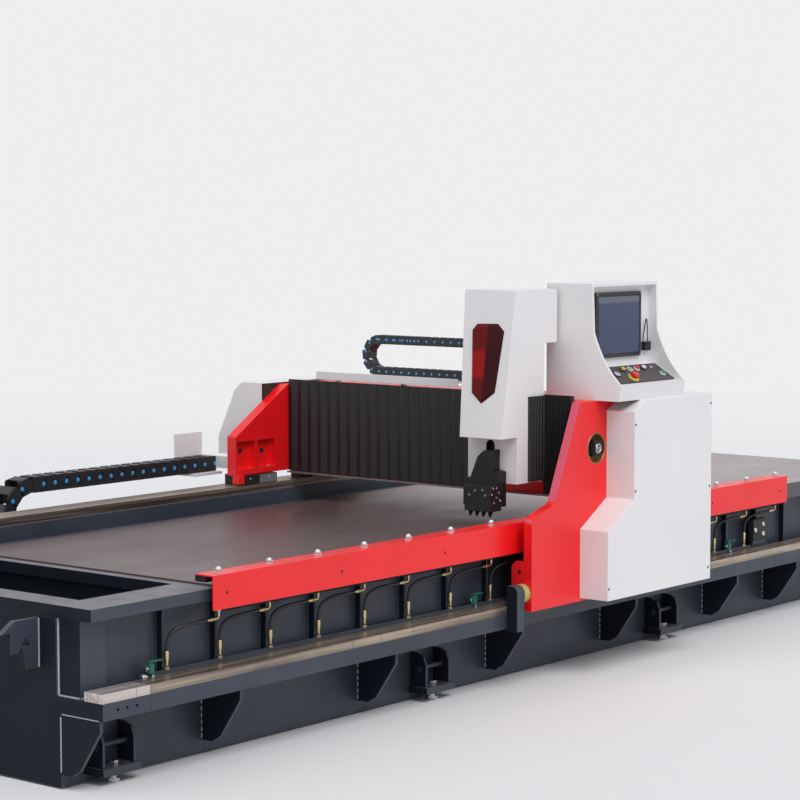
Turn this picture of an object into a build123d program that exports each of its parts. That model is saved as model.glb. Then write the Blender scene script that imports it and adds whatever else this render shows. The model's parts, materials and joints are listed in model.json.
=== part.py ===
from build123d import *
from math import cos, hypot, pi, sin
import os

# Gantry grooving machine: a long welded bed with a flat table, a travelling gantry on two rails,
# a cutting head on the beam and a hydraulic clamp along the near edge of the table.
# Stations are millimetres from the bed's left end (x), from the lower near wall (y, far side
# positive) and from the floor (z). The frame's origin is under the middle of the whole machine.

# Bed frame
bed_length = 5900
plate = 20
wall_foot = 6
wall_height = 272
ledge_reach = 214
ledge_thick = 62
ledge_joint = 234
ledge_gap = 1
rail_thick = 34
near_rail_width = 92
upper_reach = 90
upper_plate = 20
post_recess = 12
post_width = 125
rib_depth = 28
rib_thick = 14
rib_pitch = 281
rib_first = 418
rim_reach = 159
rim_low = 614
rim_thick = 46
rim_strip = 125
rim_near_inner = 30
pocket_end = 595
rim_tail = 55
table_thick = 30
table_proud = 6
table_overhang = 155
table_back = 310
notch_width = 22
edge_strip_start = 4778
edge_strip_drop = 76
bed_depth = 1580
far_beam_width = 200
far_beam_low = 600
far_beam_top = 721
far_rail_width = 135
far_rail_inset = 15
foot_step = 26
step_thick = 13
cross_beam_thick = 16
cross_beam_low = 60
cross_beam_shares = (0.1058, 0.2542, 0.4034, 0.5525, 0.7017, 0.8508)

# Gussets, feet and lifting hooks
gusset_thick = 16
gusset_reach = 198
gusset_toe = 55
gusset_lip = 42
gusset_bend = 95
gusset_bend_rise = 24
gusset_shares = (0, 0.1214, 0.2768, 0.4234, 0.5734, 0.7254, 0.8241)
foot_width = 190
foot_reach = 100
foot_base_low = 35
foot_base_thick = 28
ear_reach = 84
ear_thick = 12
ear_height = 142
ear_round = 50
ear_shoulder = 15
ear_inset = 12
foot_shares = (0.0347, 0.3488, 0.6517, 0.9653)
jack_radius = 12
jack_pad_radius = 24
jack_pad_thick = 14
jack_head_radius = 19
jack_head_thick = 15
jack_fit = 0.4
hook_y = 120
hook_thick = 24
hook_reach = 178
hook_flat = 115
hook_front = 134
hook_wall = 40
hook_throat = 60
hook_nose = 80
hook_top = 606
hook_drop = 182
hook_beak = 42
hook_tip = 118
hook_arch = 60
hook_seat = 96

# Rack and pinion of the long travel
module = 5
rack_start = 655
rack_end = 4770
rack_thick = 24
rack_top = 650
rack_pitch_line = 576
pinion_teeth = 20
pinion_drop = 1.3
pinion_near_x = 3190
pinion_tip = 3.6
pinion_root = 5.6
tooth_shares = (-0.32, -0.08, 0.08, 0.32)
pinion_shaft_radius = 15
pinion_shaft_depth = 122
shaft_fit = 0.05
drive_hole_radius = 18

# Side clamp
clamp_pitch = 281
clamp_first = 668
left_clamps = 8
clamp_last = 4741
right_clamps = 7
clamp_stroke = 14
rod_line = 138
rod_radius = 8
rod_depth = 24
rod_fit = 0.3
guard_left = 585
guard_right = 4772
guard_joint = 2850
guard_gap = 4
guard_face = 190
guard_sheet = 6
guard_top = 712
guard_low = 582
flange_depth = 92
clamp_bar_thick = 22
clamp_bar_near = 152
nut_radius = 13
nut_height = 12
cylinder_radius = 16
cylinder_low = 574

# Hydraulic lines along the ledge
manifold_line = 118
manifold_low = 357
manifold_high = 379
manifold_start = 320
manifold_end = 4720
brass_half = 6
fitting_drop = 238
fitting_line = 102
fitting_top = 449
elbow_tip = 62
elbow_low = 533
hose_radius = 6.5
hose_turns = ((0.56, 0, 0), (0.86, 0.5, 0.14), (1, 1, 0.48))
valve_stations = (340, 2272, 4345)
valve_size = 26
valve_height = 35
stem_radius = 5
handle_length = 60
handle_width = 16
handle_thick = 4
block_left = 4560
block_right = 4690
block_low = 398
block_high = 505
block_reach = 122

# Travel stop
stop_left = 2362
stop_thick = 52
stop_low = 262
stop_high = 456
stop_width = 56
buffer_radius = 41
buffer_z = 416
buffer_shift = 6
stop_holes = ((74, 24), (119, 30), (167, 36))
hole_z = 304
hole_radius = 6

# Gantry legs and beam
leg_left = 2449
leg_back = 3340
leg_face = 282
leg_thick = 42
leg_low = 340
leg_shoulder = 742
leg_step = 2618
leg_step_z = 786
leg_top_left = 2806
leg_top = 1213
corner_round = 40
lug_left = 2449
lug_thick = 12
lug_inner = 176
lug_low = 445
lug_high = 552
lug_round = 22
lug_hole_y = 214
lug_hole_z = 503
lug_hole_radius = 11
far_leg_back = 160
far_leg_thick = 56
far_leg_left = 2440
far_leg_shoulder = 985
far_pocket_depth = 26
far_pockets = ((2448, 2572), (2593, 2713))
far_pocket_low = 830
far_pocket_high = 960
beam_left = 2852
beam_right = 3250
beam_low = 812
beam_wall = 14
beam_lip_low = 789
beam_lip_thick = 8
beam_lip_left = 2800
beam_lip_right = 2872
recess_back = 3000
recess_low = 921
recess_high = 1085
block_length = 220
block_gap = 470
block_start = 2480
near_block_thick = 46
near_block_inner = 124
near_lip_drop = 26
running_gap = 0.3
screw_x = 2932
screw_z = 1003
screw_radius = 16
screw_out = 18
bore_radius = 70
bearing_half_width = 48
bearing_half_height = 42
bearing_thick = 60

# Covers
cabinet_face = 430
cabinet_left = 3010
cabinet_right = 3650
cabinet_low = 354
cabinet_foot_left = 2808
cabinet_knee = 658
cabinet_waist = 779
cabinet_shoulder = 1166
cabinet_corner = 3104
cover_wall = 3
far_cover_left = 2682
far_cover_right = 3440
far_cover_low = 870
far_cover_top = 1222
far_cover_flat_out = 26
far_cover_chamfer_out = 72
far_cover_chamfer_z = 1184
far_cover_out = 180
far_cover_waist = 955

# Drive box of the long travel, behind the cabinet cover
gearbox_width = 120
gearbox_depth = 118
motor_radius = 48
motor_length = 210

# Console
console_left = 2930
console_right = 3450
console_wall = 4
wing_thick = 12
console_back = 12
console_top = 1724
hood_reach = 256
hood_drop = 14
face_plane = 219
face_low = 1355
shelf_reach = 257
panel_top_z = 1351
panel_low_y = 372
panel_low_z = 1283
lip_y = 412
lip_z = 1280
lip_foot = 397
wing_curve = ((-264, 1510), (-301, 1422), (-352, 1342), (-lip_y, lip_z))
screen_left = 2996
screen_right = 3357
screen_sill = 35
screen_head = 42
screen_thick = 14
screen_border = 14
screen_recess = 4
side_box_x = (3378, 3426)
side_box_z = (1411, 1451)
side_box_thick = 22
panel_left = 2944
panel_right = 3426
panel_margin = 2
panel_thick = 5
button_radius = 11
button_height = 9
button_travel = 4
collar_radius = 15
collar_height = 7
estop_radius = 20
estop_height = 24
estop_stem = 10
key_radius = 9
key_height = 16
back_row = 97
yellow_x = 3120
lamp_x = 3176
red_x = 3231
white_x = 3285
key_x = 3346
big_lamp = (3037, 68)
big_lamp_radius = 20
estop_place = (3124, 34)
green_place = (3376, 45)

# Bellows along the beam
bellows_plane = 2800
bellows_depth = 20
bellows_fold = 12
bellows_low = 800
bellows_high = 1238
left_pleats = 20
right_pleats = 5

# Cutting head
head_near = 80
head_far = 196
head_top = 1700
head_low = 1060
head_front_top = 2604
head_front_low = 2503
head_back_top = 2914
head_back_mid = 2816
head_back_low = 2691
head_step_top = 1464
head_step_low = 1246
head_wall = 3
window_proud = 16
window_bevel = 11
window_rim = 6
window_corners = ((134, 1528), (101, 1551), (-8, 1550), (-35, 1521), (13, 1258), (83, 1206), (138, 1256))
body_front = 2612
body_near = 83
body_low = 857
body_far = 183
carriage_wall = 14
slot_near = 37
slot_far = 83
slot_top = 1044
slot_depth = 30
tongue_gap = 1
slide_motor_half = 40
slide_motor_height = 210
tool_front = 2552
tool_low = 757
tool_near = 26
tool_far = 163
slide_profile = ((-26, 911), (9, 918), (9, 1005), (53, 1002), (86, 974), (126, 879), (163, 876))
tongue_high = 1000
holder_front = 2472
holder_near = 45
holder_far = 97
holder_low = 745
holder_high = 855
cutter_count = 4
cutter_width = 10
cutter_drop = 26
rail_z = (872, 1162)
y_rail_height = 24
y_rail_proud = 20
rail_block_height = 46
rail_block_length = 240
nut_near = 20
nut_far = 90

# Energy chains
x_chain_out = 220
x_chain_width = 100
x_chain_height = 74
x_chain_top = 823
x_chain_base = 543
x_bend_station = 1470
x_anchor = 3400
x_chain_end = 2652
x_link_pitch = 70.7
x_bend_links = 6
link_step = 6
trough_start = 1250
trough_base = 4
trough_gap = 14
trough_wall = 46
trough_arm = 40
trough_arm_pitch = 540
chain_seat = 0.5
bracket_left = 2476
bracket_plate = 12
bracket_out = 132
bracket_high = 970
y_chain_line = 2962
y_chain_width = 62
y_chain_height = 44
y_chain_top = 1438
y_chain_base = 1288
y_bend_station = 962
y_anchor = 420
y_chain_end = 205
y_link_pitch = 46
y_bend_links = 5
tray_left = 2824
tray_right = 3000
tray_sheet = 3
tray_near = 403
tray_back = 166
tray_lip_low = 1244
tray_lip_high = 1282
tray_post = 20
arm_near = 160
arm_far = 190
arm_low = 1400

# Sides of the small prisms that stand for round and hexagonal bars
hex_sides = 6
cap_sides = 10
round_sides = 16
bore_sides = 24

# Places that follow from the sizes above
rim_top = rim_low + rim_thick
table_top = rim_top + table_proud
table_low = table_top - table_thick
table_start = pocket_end + rim_tail
ledge_top = wall_height + ledge_thick
near_rail_top = ledge_top + rail_thick
far_rail_top = far_beam_top + rail_thick
far_inner = bed_depth - far_beam_width
table_far = bed_depth - table_back
far_leg_y = bed_depth - far_leg_back
far_cover_flat = bed_depth + far_cover_flat_out
far_cover_chamfer = bed_depth + far_cover_chamfer_out
far_cover_reach = bed_depth + far_cover_out
x_chain_line = bed_depth + x_chain_out
bracket_far = bed_depth + bracket_out
tray_far = far_leg_y - tray_back
cross_beam_stations = [bed_length * share for share in cross_beam_shares]
gusset_stations = [bed_length * share for share in gusset_shares] + [bed_length - gusset_thick]
foot_stations = [bed_length * share for share in foot_shares]
screen_low = face_low + screen_sill
screen_high = console_top - screen_head
rim_far = far_inner - foot_step
upper_face = upper_reach - rib_depth
far_reach = x_chain_line + x_chain_width / 2 + trough_gap + trough_base
mid_x = bed_length / 2
mid_y = (far_reach - cabinet_face) / 2
clamp_stations = [clamp_first + clamp_pitch * n for n in range(left_clamps)]
clamp_stations += [clamp_last - clamp_pitch * n for n in range(right_clamps)]
rod_points = [(x, -rod_line) for x in clamp_stations]

os.makedirs("parts", exist_ok=True)


def across(x):
    # A plane across the bed at one station, seen along the bed: its axes are y and z
    return Plane(origin=(x - mid_x, -mid_y, 0), x_dir=(0, 1, 0), z_dir=(1, 0, 0))


def along(y):
    # An upright plane along the bed, facing the near side: its axes are x and z
    return Plane(origin=(-mid_x, y - mid_y, 0), x_dir=(1, 0, 0), z_dir=(0, -1, 0))


def level(z):
    # A level plane at one height: its axes are x and y
    return Plane(origin=(-mid_x, -mid_y, z), x_dir=(1, 0, 0), z_dir=(0, 0, 1))


def spot(x, y, z):
    # A point of the frame from its stations
    return (x - mid_x, y - mid_y, z)


def bar(x, y, z, mode=Mode.ADD):
    # A straight plate or bar between two stations on each axis
    with Locations(spot(x[0], y[0], z[0])):
        Box(x[1] - x[0], y[1] - y[0], z[1] - z[0], align=(Align.MIN,) * 3, mode=mode)


def save(part, label):
    part.label = label
    export_step(part, f"parts/{label}.step")


# Near wall: the lower plate under the ledge, and the gussets that carry the ledge
with BuildPart() as near_wall:
    bar((0, bed_length), (0, plate), (wall_foot, wall_height))
    for x in gusset_stations:
        with BuildSketch(across(x)):
            with BuildLine():
                Polyline(
                    (0, gusset_toe),
                    (0, wall_height),
                    (-gusset_reach, wall_height),
                    (-gusset_reach, wall_height - gusset_lip),
                    (-gusset_bend, gusset_toe + gusset_bend_rise),
                    (-gusset_toe, gusset_toe),
                    close=True,
                )
            make_face()
        extrude(amount=gusset_thick)
save(near_wall.part, "near_wall")

# Ledge: two lengths of thick flat that carry the near rail, with threaded holes at the left end
with BuildPart() as ledge:
    bar((0, ledge_joint), (-ledge_reach, plate), (wall_height, ledge_top))
    bar((ledge_joint + ledge_gap, bed_length), (-ledge_reach, plate), (wall_height, ledge_top))
    for x, depth in stop_holes:
        with BuildSketch(along(-ledge_reach + depth)):
            with Locations((x, hole_z)):
                Circle(hole_radius)
        extrude(amount=depth, mode=Mode.SUBTRACT)
save(ledge.part, "ledge")

# Upper wall: set out over the ledge, with upright ribs and a closed post at each end
with BuildPart() as upper_wall:
    with BuildSketch(along(plate - upper_face)):
        with BuildLine():
            Polyline(
                (post_recess, ledge_top),
                (bed_length - post_recess, ledge_top),
                (bed_length - post_recess, table_low),
                (table_start, table_low),
                (table_start, rim_low),
                (post_recess, rim_low),
                close=True,
            )
        make_face()
    extrude(amount=plate)
    ribs = int((bed_length - post_width - rib_first) / rib_pitch)
    with Locations(*[spot(rib_first + n * rib_pitch, -upper_reach, ledge_top) for n in range(ribs)]):
        Box(rib_thick, rib_depth, rim_low - ledge_top, align=(Align.MIN,) * 3)
    for x in (post_recess, bed_length - post_recess - post_width):
        bar((x, x + post_width), (-upper_reach, -upper_face), (ledge_top, rim_low))
    for x in (post_recess, bed_length - post_recess - upper_plate):
        bar((x, x + upper_plate), (plate - upper_face, plate), (ledge_top, rim_low))
save(upper_wall.part, "upper_wall")

# End walls: the two closing plates, each with a pair of plate hooks for slings
with BuildPart() as end_walls:
    for start, top in ((0, rim_low), (bed_length - plate, table_low)):
        with BuildSketch(across(start)):
            with BuildLine():
                Polyline(
                    (plate, wall_foot),
                    (plate, top),
                    (rim_far, top),
                    (rim_far, far_beam_low),
                    (bed_depth - plate, far_beam_low),
                    (bed_depth - plate, wall_foot),
                    close=True,
                )
            make_face()
        extrude(amount=plate)
    for end, side in ((0, -1), (bed_length, 1)):
        for y in (hook_y, bed_depth - hook_y):
            with BuildSketch(along(y + hook_thick / 2)):
                with BuildLine():
                    Polyline(
                        (end, hook_top),
                        (end + side * hook_flat, hook_top),
                        (end + side * hook_reach, hook_top - hook_beak),
                        (end + side * hook_front, hook_top - hook_beak),
                        (end + side * hook_front, hook_top - hook_tip),
                        (end + side * (hook_front - hook_wall), hook_top - hook_tip),
                        (end + side * hook_throat, hook_top - hook_arch),
                        (end + side * hook_wall, hook_top - hook_seat),
                        (end + side * hook_nose, hook_top - hook_seat),
                        (end + side * hook_throat, hook_top - hook_drop),
                        (end, hook_top - hook_drop),
                        close=True,
                    )
                make_face()
            extrude(amount=hook_thick)
save(end_walls.part, "end_walls")

# Far side: the outer wall and the raised box beam that carries the far rail, with a foot step
with BuildPart() as far_side:
    with BuildSketch(across(0)):
        with BuildLine():
            Polyline(
                (bed_depth, wall_foot),
                (bed_depth, far_beam_top),
                (far_inner, far_beam_top),
                (far_inner, table_low + step_thick),
                (rim_far, table_low + step_thick),
                (rim_far, table_low),
                (far_inner, far_beam_low),
                (bed_depth - plate, far_beam_low),
                (bed_depth - plate, wall_foot),
                close=True,
            )
        make_face()
        with BuildLine():
            Polyline(
                (far_inner + plate, far_beam_low + plate),
                (bed_depth - plate, far_beam_low + plate),
                (bed_depth - plate, far_beam_top - plate),
                (far_inner + plate, far_beam_top - plate),
                close=True,
            )
        make_face(mode=Mode.SUBTRACT)
    extrude(amount=bed_length)
save(far_side.part, "far_side")

# Cross beams: upright plates across the bed that carry the rim and the table
with BuildPart() as cross_beams:
    for x in cross_beam_stations:
        top = table_low if x > table_start else rim_low
        with BuildSketch(across(x)):
            with BuildLine():
                Polyline(
                    (plate, cross_beam_low),
                    (plate, ledge_top),
                    (plate - upper_face, ledge_top),
                    (plate - upper_face, top),
                    (rim_far, top),
                    (rim_far, far_beam_low),
                    (bed_depth - plate, far_beam_low),
                    (bed_depth - plate, cross_beam_low),
                    close=True,
                )
            make_face()
        extrude(amount=cross_beam_thick)
save(cross_beams.part, "cross_beams")

# Rim frame: the flat ring round the open pocket at the left end
with BuildPart() as rim_frame:
    bar((0, table_start), (-rim_reach, rim_far), (rim_low, rim_top))
    pocket_y = (rim_near_inner, rim_far - rim_strip)
    bar((rim_strip, pocket_end), pocket_y, (rim_low, rim_top), Mode.SUBTRACT)
save(rim_frame.part, "rim_frame")

# Table plate: notched at its near edge for the clamp rods, with a deeper edge strip at the right
with BuildPart() as table_plate:
    bar((table_start, bed_length), (-table_overhang, table_far), (table_low, table_top))
    strip_z = (table_top - edge_strip_drop, table_low)
    bar((edge_strip_start, bed_length), (-table_overhang, plate - table_overhang), strip_z)
    for x in clamp_stations:
        notch_x = (x - notch_width / 2, x + notch_width / 2)
        notch_y = (-table_overhang, notch_width / 2 - rod_line)
        bar(notch_x, notch_y, (table_low, table_top), Mode.SUBTRACT)
save(table_plate.part, "table_plate")

# Rails: ground flats on the near ledge and on the far beam
with BuildPart() as x_rails:
    bar((0, bed_length), (-ledge_reach, near_rail_width - ledge_reach), (ledge_top, near_rail_top))
    far_rail_y = (far_inner + far_rail_inset, far_inner + far_rail_inset + far_rail_width)
    bar((0, bed_length), far_rail_y, (far_beam_top, far_rail_top))
save(x_rails.part, "x_rails")

# Gear rack: teeth downwards along the table's near edge
tooth_pitch = pi * module
rack_teeth = int((rack_end - rack_start) / tooth_pitch)
with BuildPart() as gear_rack:
    with BuildSketch(along(-table_overhang)):
        with BuildLine():
            outline = [(rack_start, rack_pitch_line + module)]
            for n in range(1, rack_teeth + 1):
                root = rack_start + n * tooth_pitch
                outline.append((root - tooth_pitch / 2, rack_pitch_line - module))
                outline.append((root, rack_pitch_line + module))
            outline.append((rack_start + rack_teeth * tooth_pitch, rack_top))
            outline.append((rack_start, rack_top))
            Polyline(*outline, close=True)
        make_face()
    extrude(amount=rack_thick)
save(gear_rack.part, "gear_rack")

# Foot brackets: a base plate with two round-topped ears at each jacking point on both sides
base_top = foot_base_low + foot_base_thick
jack_lines = (-foot_reach / 2, bed_depth + foot_reach / 2)
jack_points = [(x, y) for x in foot_stations for y in jack_lines]
with BuildPart() as foot_brackets:
    for x in foot_stations:
        for face, side in ((0, -1), (bed_depth, 1)):
            base_y = sorted((face, face + side * foot_reach))
            bar((x - foot_width / 2, x + foot_width / 2), base_y, (foot_base_low, base_top))
            ear_top = base_top + ear_height
            for ear in (ear_inset - foot_width / 2, foot_width / 2 - ear_inset - ear_thick):
                with BuildSketch(across(x + ear)):
                    with BuildLine():
                        Polyline(
                            (face, base_top),
                            (face, ear_top),
                            (face + side * (ear_reach - ear_round), ear_top),
                            (face + side * (ear_reach - ear_shoulder), ear_top - ear_shoulder),
                            (face + side * ear_reach, ear_top - ear_round),
                            (face + side * ear_reach, base_top),
                            close=True,
                        )
                    make_face()
                extrude(amount=ear_thick)
    with BuildSketch(level(foot_base_low)):
        with Locations(*jack_points):
            RegularPolygon(jack_radius + jack_fit, hex_sides)
    extrude(amount=foot_base_thick, mode=Mode.SUBTRACT)
save(foot_brackets.part, "foot_brackets")

# Jack bolts: levelling screws through the foot brackets, each on its pad
with BuildPart() as jack_bolts:
    with BuildSketch(level(0)):
        with Locations(*jack_points):
            RegularPolygon(jack_pad_radius, hex_sides)
    extrude(amount=jack_pad_thick)
    with BuildSketch(level(jack_pad_thick)):
        with Locations(*jack_points):
            RegularPolygon(jack_radius, hex_sides)
    extrude(amount=base_top - jack_pad_thick)
    with BuildSketch(level(base_top)):
        with Locations(*jack_points):
            RegularPolygon(jack_head_radius, hex_sides)
    extrude(amount=jack_head_thick)
save(jack_bolts.part, "jack_bolts")

# Manifold: the pressure line along the ribs, its valve block and the shut-off valves' bodies
with BuildPart() as manifold:
    bar((manifold_start, manifold_end), (-manifold_line, -upper_reach), (manifold_low, manifold_high))
    bar((block_left, block_right), (-block_reach, -upper_reach), (block_low, block_high))
    bar((block_left, block_right), (-manifold_line, -upper_reach), (manifold_high, block_low))
    for x in valve_stations:
        valve_x = (x - valve_size / 2, x + valve_size / 2)
        valve_y = (-manifold_line, valve_size - manifold_line)
        bar(valve_x, valve_y, (manifold_high, manifold_high + valve_height))
save(manifold.part, "manifold")

# Valve handles: a flat lever on a short stem over each shut-off valve
valve_top = manifold_high + valve_height
for n, x in enumerate(valve_stations):
    with BuildPart() as valve_handle:
        with BuildSketch(level(valve_top)):
            with Locations((x, valve_size / 2 - manifold_line)):
                Circle(stem_radius)
        extrude(amount=stem_radius)
        handle_x = (x - handle_width / 2, x + handle_length)
        handle_near = (valve_size - handle_width) / 2 - manifold_line
        handle_y = (handle_near, handle_near + handle_width)
        bar(handle_x, handle_y, (valve_top + stem_radius, valve_top + stem_radius + handle_thick))
    save(valve_handle.part, f"valve_handle_{n + 1}")

# Clamp cylinders: bolted under the table's near edge, bored for the rods
with BuildPart() as clamp_cylinders:
    with BuildSketch(level(cylinder_low)):
        with Locations(*rod_points):
            RegularPolygon(cylinder_radius, hex_sides)
    extrude(amount=table_low - cylinder_low)
    with BuildSketch(level(table_low)):
        with Locations(*rod_points):
            RegularPolygon(rod_radius + rod_fit, hex_sides)
    extrude(amount=-rod_depth - clamp_stroke - rod_fit, mode=Mode.SUBTRACT)
save(clamp_cylinders.part, "clamp_cylinders")

# Brass fittings: an elbow under each cylinder and a straight fitting on the manifold
with BuildPart() as brass_fittings:
    with BuildSketch(along(brass_half - rod_line)):
        for x in clamp_stations:
            with BuildLine():
                Polyline(
                    (x - brass_half, cylinder_low),
                    (x - brass_half, elbow_low + 2 * brass_half),
                    (x - elbow_tip, elbow_low + 2 * brass_half),
                    (x - elbow_tip, elbow_low),
                    (x + brass_half, elbow_low),
                    (x + brass_half, cylinder_low),
                    close=True,
                )
            make_face()
    extrude(amount=2 * brass_half)
    with BuildSketch(level(manifold_high)):
        with Locations(*[(x - fitting_drop, -fitting_line) for x in clamp_stations]):
            RegularPolygon(brass_half, hex_sides)
    extrude(amount=fitting_top - manifold_high)
save(brass_fittings.part, "brass_fittings")

# Clamp hoses: one from each elbow, nearly level to the left, then down into its straight fitting
elbow_end = Vector(*spot(-elbow_tip, -rod_line, elbow_low + brass_half))
fitting_end = Vector(*spot(-fitting_drop, -fitting_line, fitting_top))
hose_shift = fitting_end - elbow_end
hose_route = [elbow_end]
for run, swing, fall in hose_turns:
    turn = Vector(hose_shift.X * run, hose_shift.Y * swing, hose_shift.Z * fall)
    hose_route.append(elbow_end + turn)
hose_route.append(fitting_end)
with BuildPart() as one_hose:
    with BuildLine():
        Polyline(*hose_route)
    with BuildSketch(Plane(origin=elbow_end, z_dir=(-1, 0, 0))):
        RegularPolygon(hose_radius, hex_sides)
    sweep(transition=Transition.RIGHT)
with BuildPart() as clamp_hoses:
    with Locations(*[(x, 0, 0) for x in clamp_stations]):
        add(one_hose.part)
save(clamp_hoses.part, "clamp_hoses")

# Travel stop: a round-topped block bolted to the ledge's face
with BuildPart() as travel_stop:
    with BuildSketch(across(stop_left)) as stop_face:
        with Locations((-ledge_reach - stop_width / 2, (stop_low + stop_high) / 2)):
            Rectangle(stop_width, stop_high - stop_low)
        fillet(stop_face.vertices().group_by(Axis.Y)[-1].sort_by(Axis.X)[0], stop_width / 2)
    extrude(amount=stop_thick)
save(travel_stop.part, "travel_stop")

# Stop buffer: a soft cylinder between the stop and the near leg
with BuildPart() as stop_buffer:
    with BuildSketch(across(stop_left + stop_thick)):
        with Locations((buffer_shift - ledge_reach - stop_width / 2, buffer_z)):
            RegularPolygon(buffer_radius, round_sides)
    extrude(amount=leg_left - stop_left - stop_thick - running_gap)
save(stop_buffer.part, "stop_buffer")

# Side clamp guard: two lengths of folded sheet with a top flange over the table's edge
guard_lengths = ((guard_left, guard_joint - guard_gap / 2), (guard_joint + guard_gap / 2, guard_right))
with BuildPart() as clamp_guard:
    for x0, x1 in guard_lengths:
        bar((x0, x1), (-guard_face, guard_sheet - guard_face), (guard_low, guard_top))
        bar((x0, x1), (-guard_face, flange_depth - guard_face), (guard_top - guard_sheet, guard_top))
save(clamp_guard.part, "clamp_guard")

# Clamp bars with their rods, and the nuts that hold the guard on the rods
bar_high = guard_top - guard_sheet
with BuildPart() as clamp_bars:
    for x0, x1 in guard_lengths:
        bar((x0, x1), (-clamp_bar_near, flange_depth - guard_face), (bar_high - clamp_bar_thick, bar_high))
    with BuildSketch(level(table_low - rod_depth)):
        with Locations(*rod_points):
            RegularPolygon(rod_radius, hex_sides)
    extrude(amount=bar_high - clamp_bar_thick - table_low + rod_depth)
    with BuildSketch(level(guard_top)):
        with Locations(*rod_points):
            RegularPolygon(nut_radius, hex_sides)
    extrude(amount=nut_height)
save(clamp_bars.part, "clamp_bars")


def chain_outline(start, end, middle, height, pitch):
    # One straight run of an energy chain, from its side, with a small step at each link joint
    links = max(1, round((end - start) / pitch))
    step = (end - start) / links
    upper = []
    lower = []
    for n in range(links):
        for points, side in ((upper, 1), (lower, -1)):
            edge = middle + side * height / 2
            points.append((start + n * step, edge))
            points.append((start + (n + 1) * step, edge - side * link_step))
    return lower + upper[::-1]


def bend_outline(centre, low, high, height, links, side):
    # The half turn of an energy chain, from its side, with one flat for each link
    middle = (low + high) / 2
    radius = (high - low) / 2
    outer = []
    inner = []
    for n in range(links + 1):
        turn = pi * n / links
        for points, reach in ((outer, radius + height / 2), (inner, radius - height / 2)):
            points.append((centre + side * reach * sin(turn), middle - reach * cos(turn)))
    return outer + inner[::-1]


# Long-travel energy chain: the lower run lies in its trough, the upper run follows the gantry
x_chain_face = x_chain_line + x_chain_width / 2
with BuildPart() as x_chain_lower:
    with BuildSketch(along(x_chain_face)):
        with BuildLine():
            run = (x_bend_station, x_anchor, x_chain_base, x_chain_height, x_link_pitch)
            Polyline(*chain_outline(*run), close=True)
        make_face()
    extrude(amount=x_chain_width)
save(x_chain_lower.part, "x_chain_lower")

with BuildPart() as x_chain_upper:
    with BuildSketch(along(x_chain_face)):
        with BuildLine():
            run = (x_bend_station, x_chain_end, x_chain_top, x_chain_height, x_link_pitch)
            Polyline(*chain_outline(*run), close=True)
        make_face()
    extrude(amount=x_chain_width)
save(x_chain_upper.part, "x_chain_upper")

with BuildPart() as x_chain_bend:
    with BuildSketch(along(x_chain_face)):
        with BuildLine():
            turn = (x_bend_station, x_chain_base, x_chain_top, x_chain_height, x_bend_links, -1)
            Polyline(*bend_outline(*turn), close=True)
        make_face()
    extrude(amount=x_chain_width)
save(x_chain_bend.part, "x_chain_bend")

# Chain trough: a folded channel on arms from the far wall, closed at the chain's fixed end
trough_y = (x_chain_line - x_chain_width / 2 - trough_gap - trough_base, far_reach)
trough_top = x_chain_base - x_chain_height / 2 - chain_seat
trough_low = trough_top - trough_base
with BuildPart() as chain_trough:
    bar((trough_start, x_anchor + trough_base), trough_y, (trough_low, trough_top + trough_wall))
    channel_y = (trough_y[0] + trough_base, trough_y[1] - trough_base)
    bar((trough_start, x_anchor), channel_y, (trough_top, trough_top + trough_wall), Mode.SUBTRACT)
    for n in range(1 + int((x_anchor - trough_start - trough_arm) / trough_arm_pitch)):
        x = trough_start + n * trough_arm_pitch
        bar((x, x + trough_arm), (bed_depth, trough_y[0]), (trough_low, trough_top + trough_wall))
save(chain_trough.part, "chain_trough")

# Near leg: the thick plate outside the near rail, bored where the beam's screw ends
pinion_x = rack_start + round((pinion_near_x - rack_start) / tooth_pitch) * tooth_pitch
pinion_radius = module * pinion_teeth / 2
pinion_z = rack_pitch_line - pinion_radius - pinion_drop
with BuildPart() as near_leg:
    with BuildSketch(along(leg_thick - leg_face)) as leg_side:
        with BuildLine():
            Polyline(
                (leg_left, leg_low),
                (leg_left, leg_shoulder),
                (leg_step, leg_step_z),
                (leg_top_left, leg_top),
                (leg_back, leg_top),
                (leg_back, leg_low),
                close=True,
            )
        make_face()
        fillet(leg_side.vertices().sort_by_distance((leg_left, leg_shoulder))[0], corner_round)
        fillet(leg_side.vertices().sort_by_distance((leg_step, leg_step_z))[0], corner_round)
        with Locations((screw_x, screw_z)):
            RegularPolygon(bore_radius, bore_sides, mode=Mode.SUBTRACT)
        with Locations((pinion_x, pinion_z)):
            RegularPolygon(drive_hole_radius, round_sides, mode=Mode.SUBTRACT)
    extrude(amount=leg_thick)
    with BuildSketch(across(lug_left)):
        with BuildLine():
            Polyline(
                (leg_thick - leg_face, lug_low),
                (leg_thick - leg_face, lug_high),
                (-lug_inner - lug_round, lug_high),
                (-lug_inner, lug_high - lug_round),
                (-lug_inner, lug_low),
                close=True,
            )
        make_face()
        with Locations((-lug_hole_y, lug_hole_z)):
            RegularPolygon(lug_hole_radius, cap_sides, mode=Mode.SUBTRACT)
    extrude(amount=lug_thick)
save(near_leg.part, "near_leg")

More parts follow.
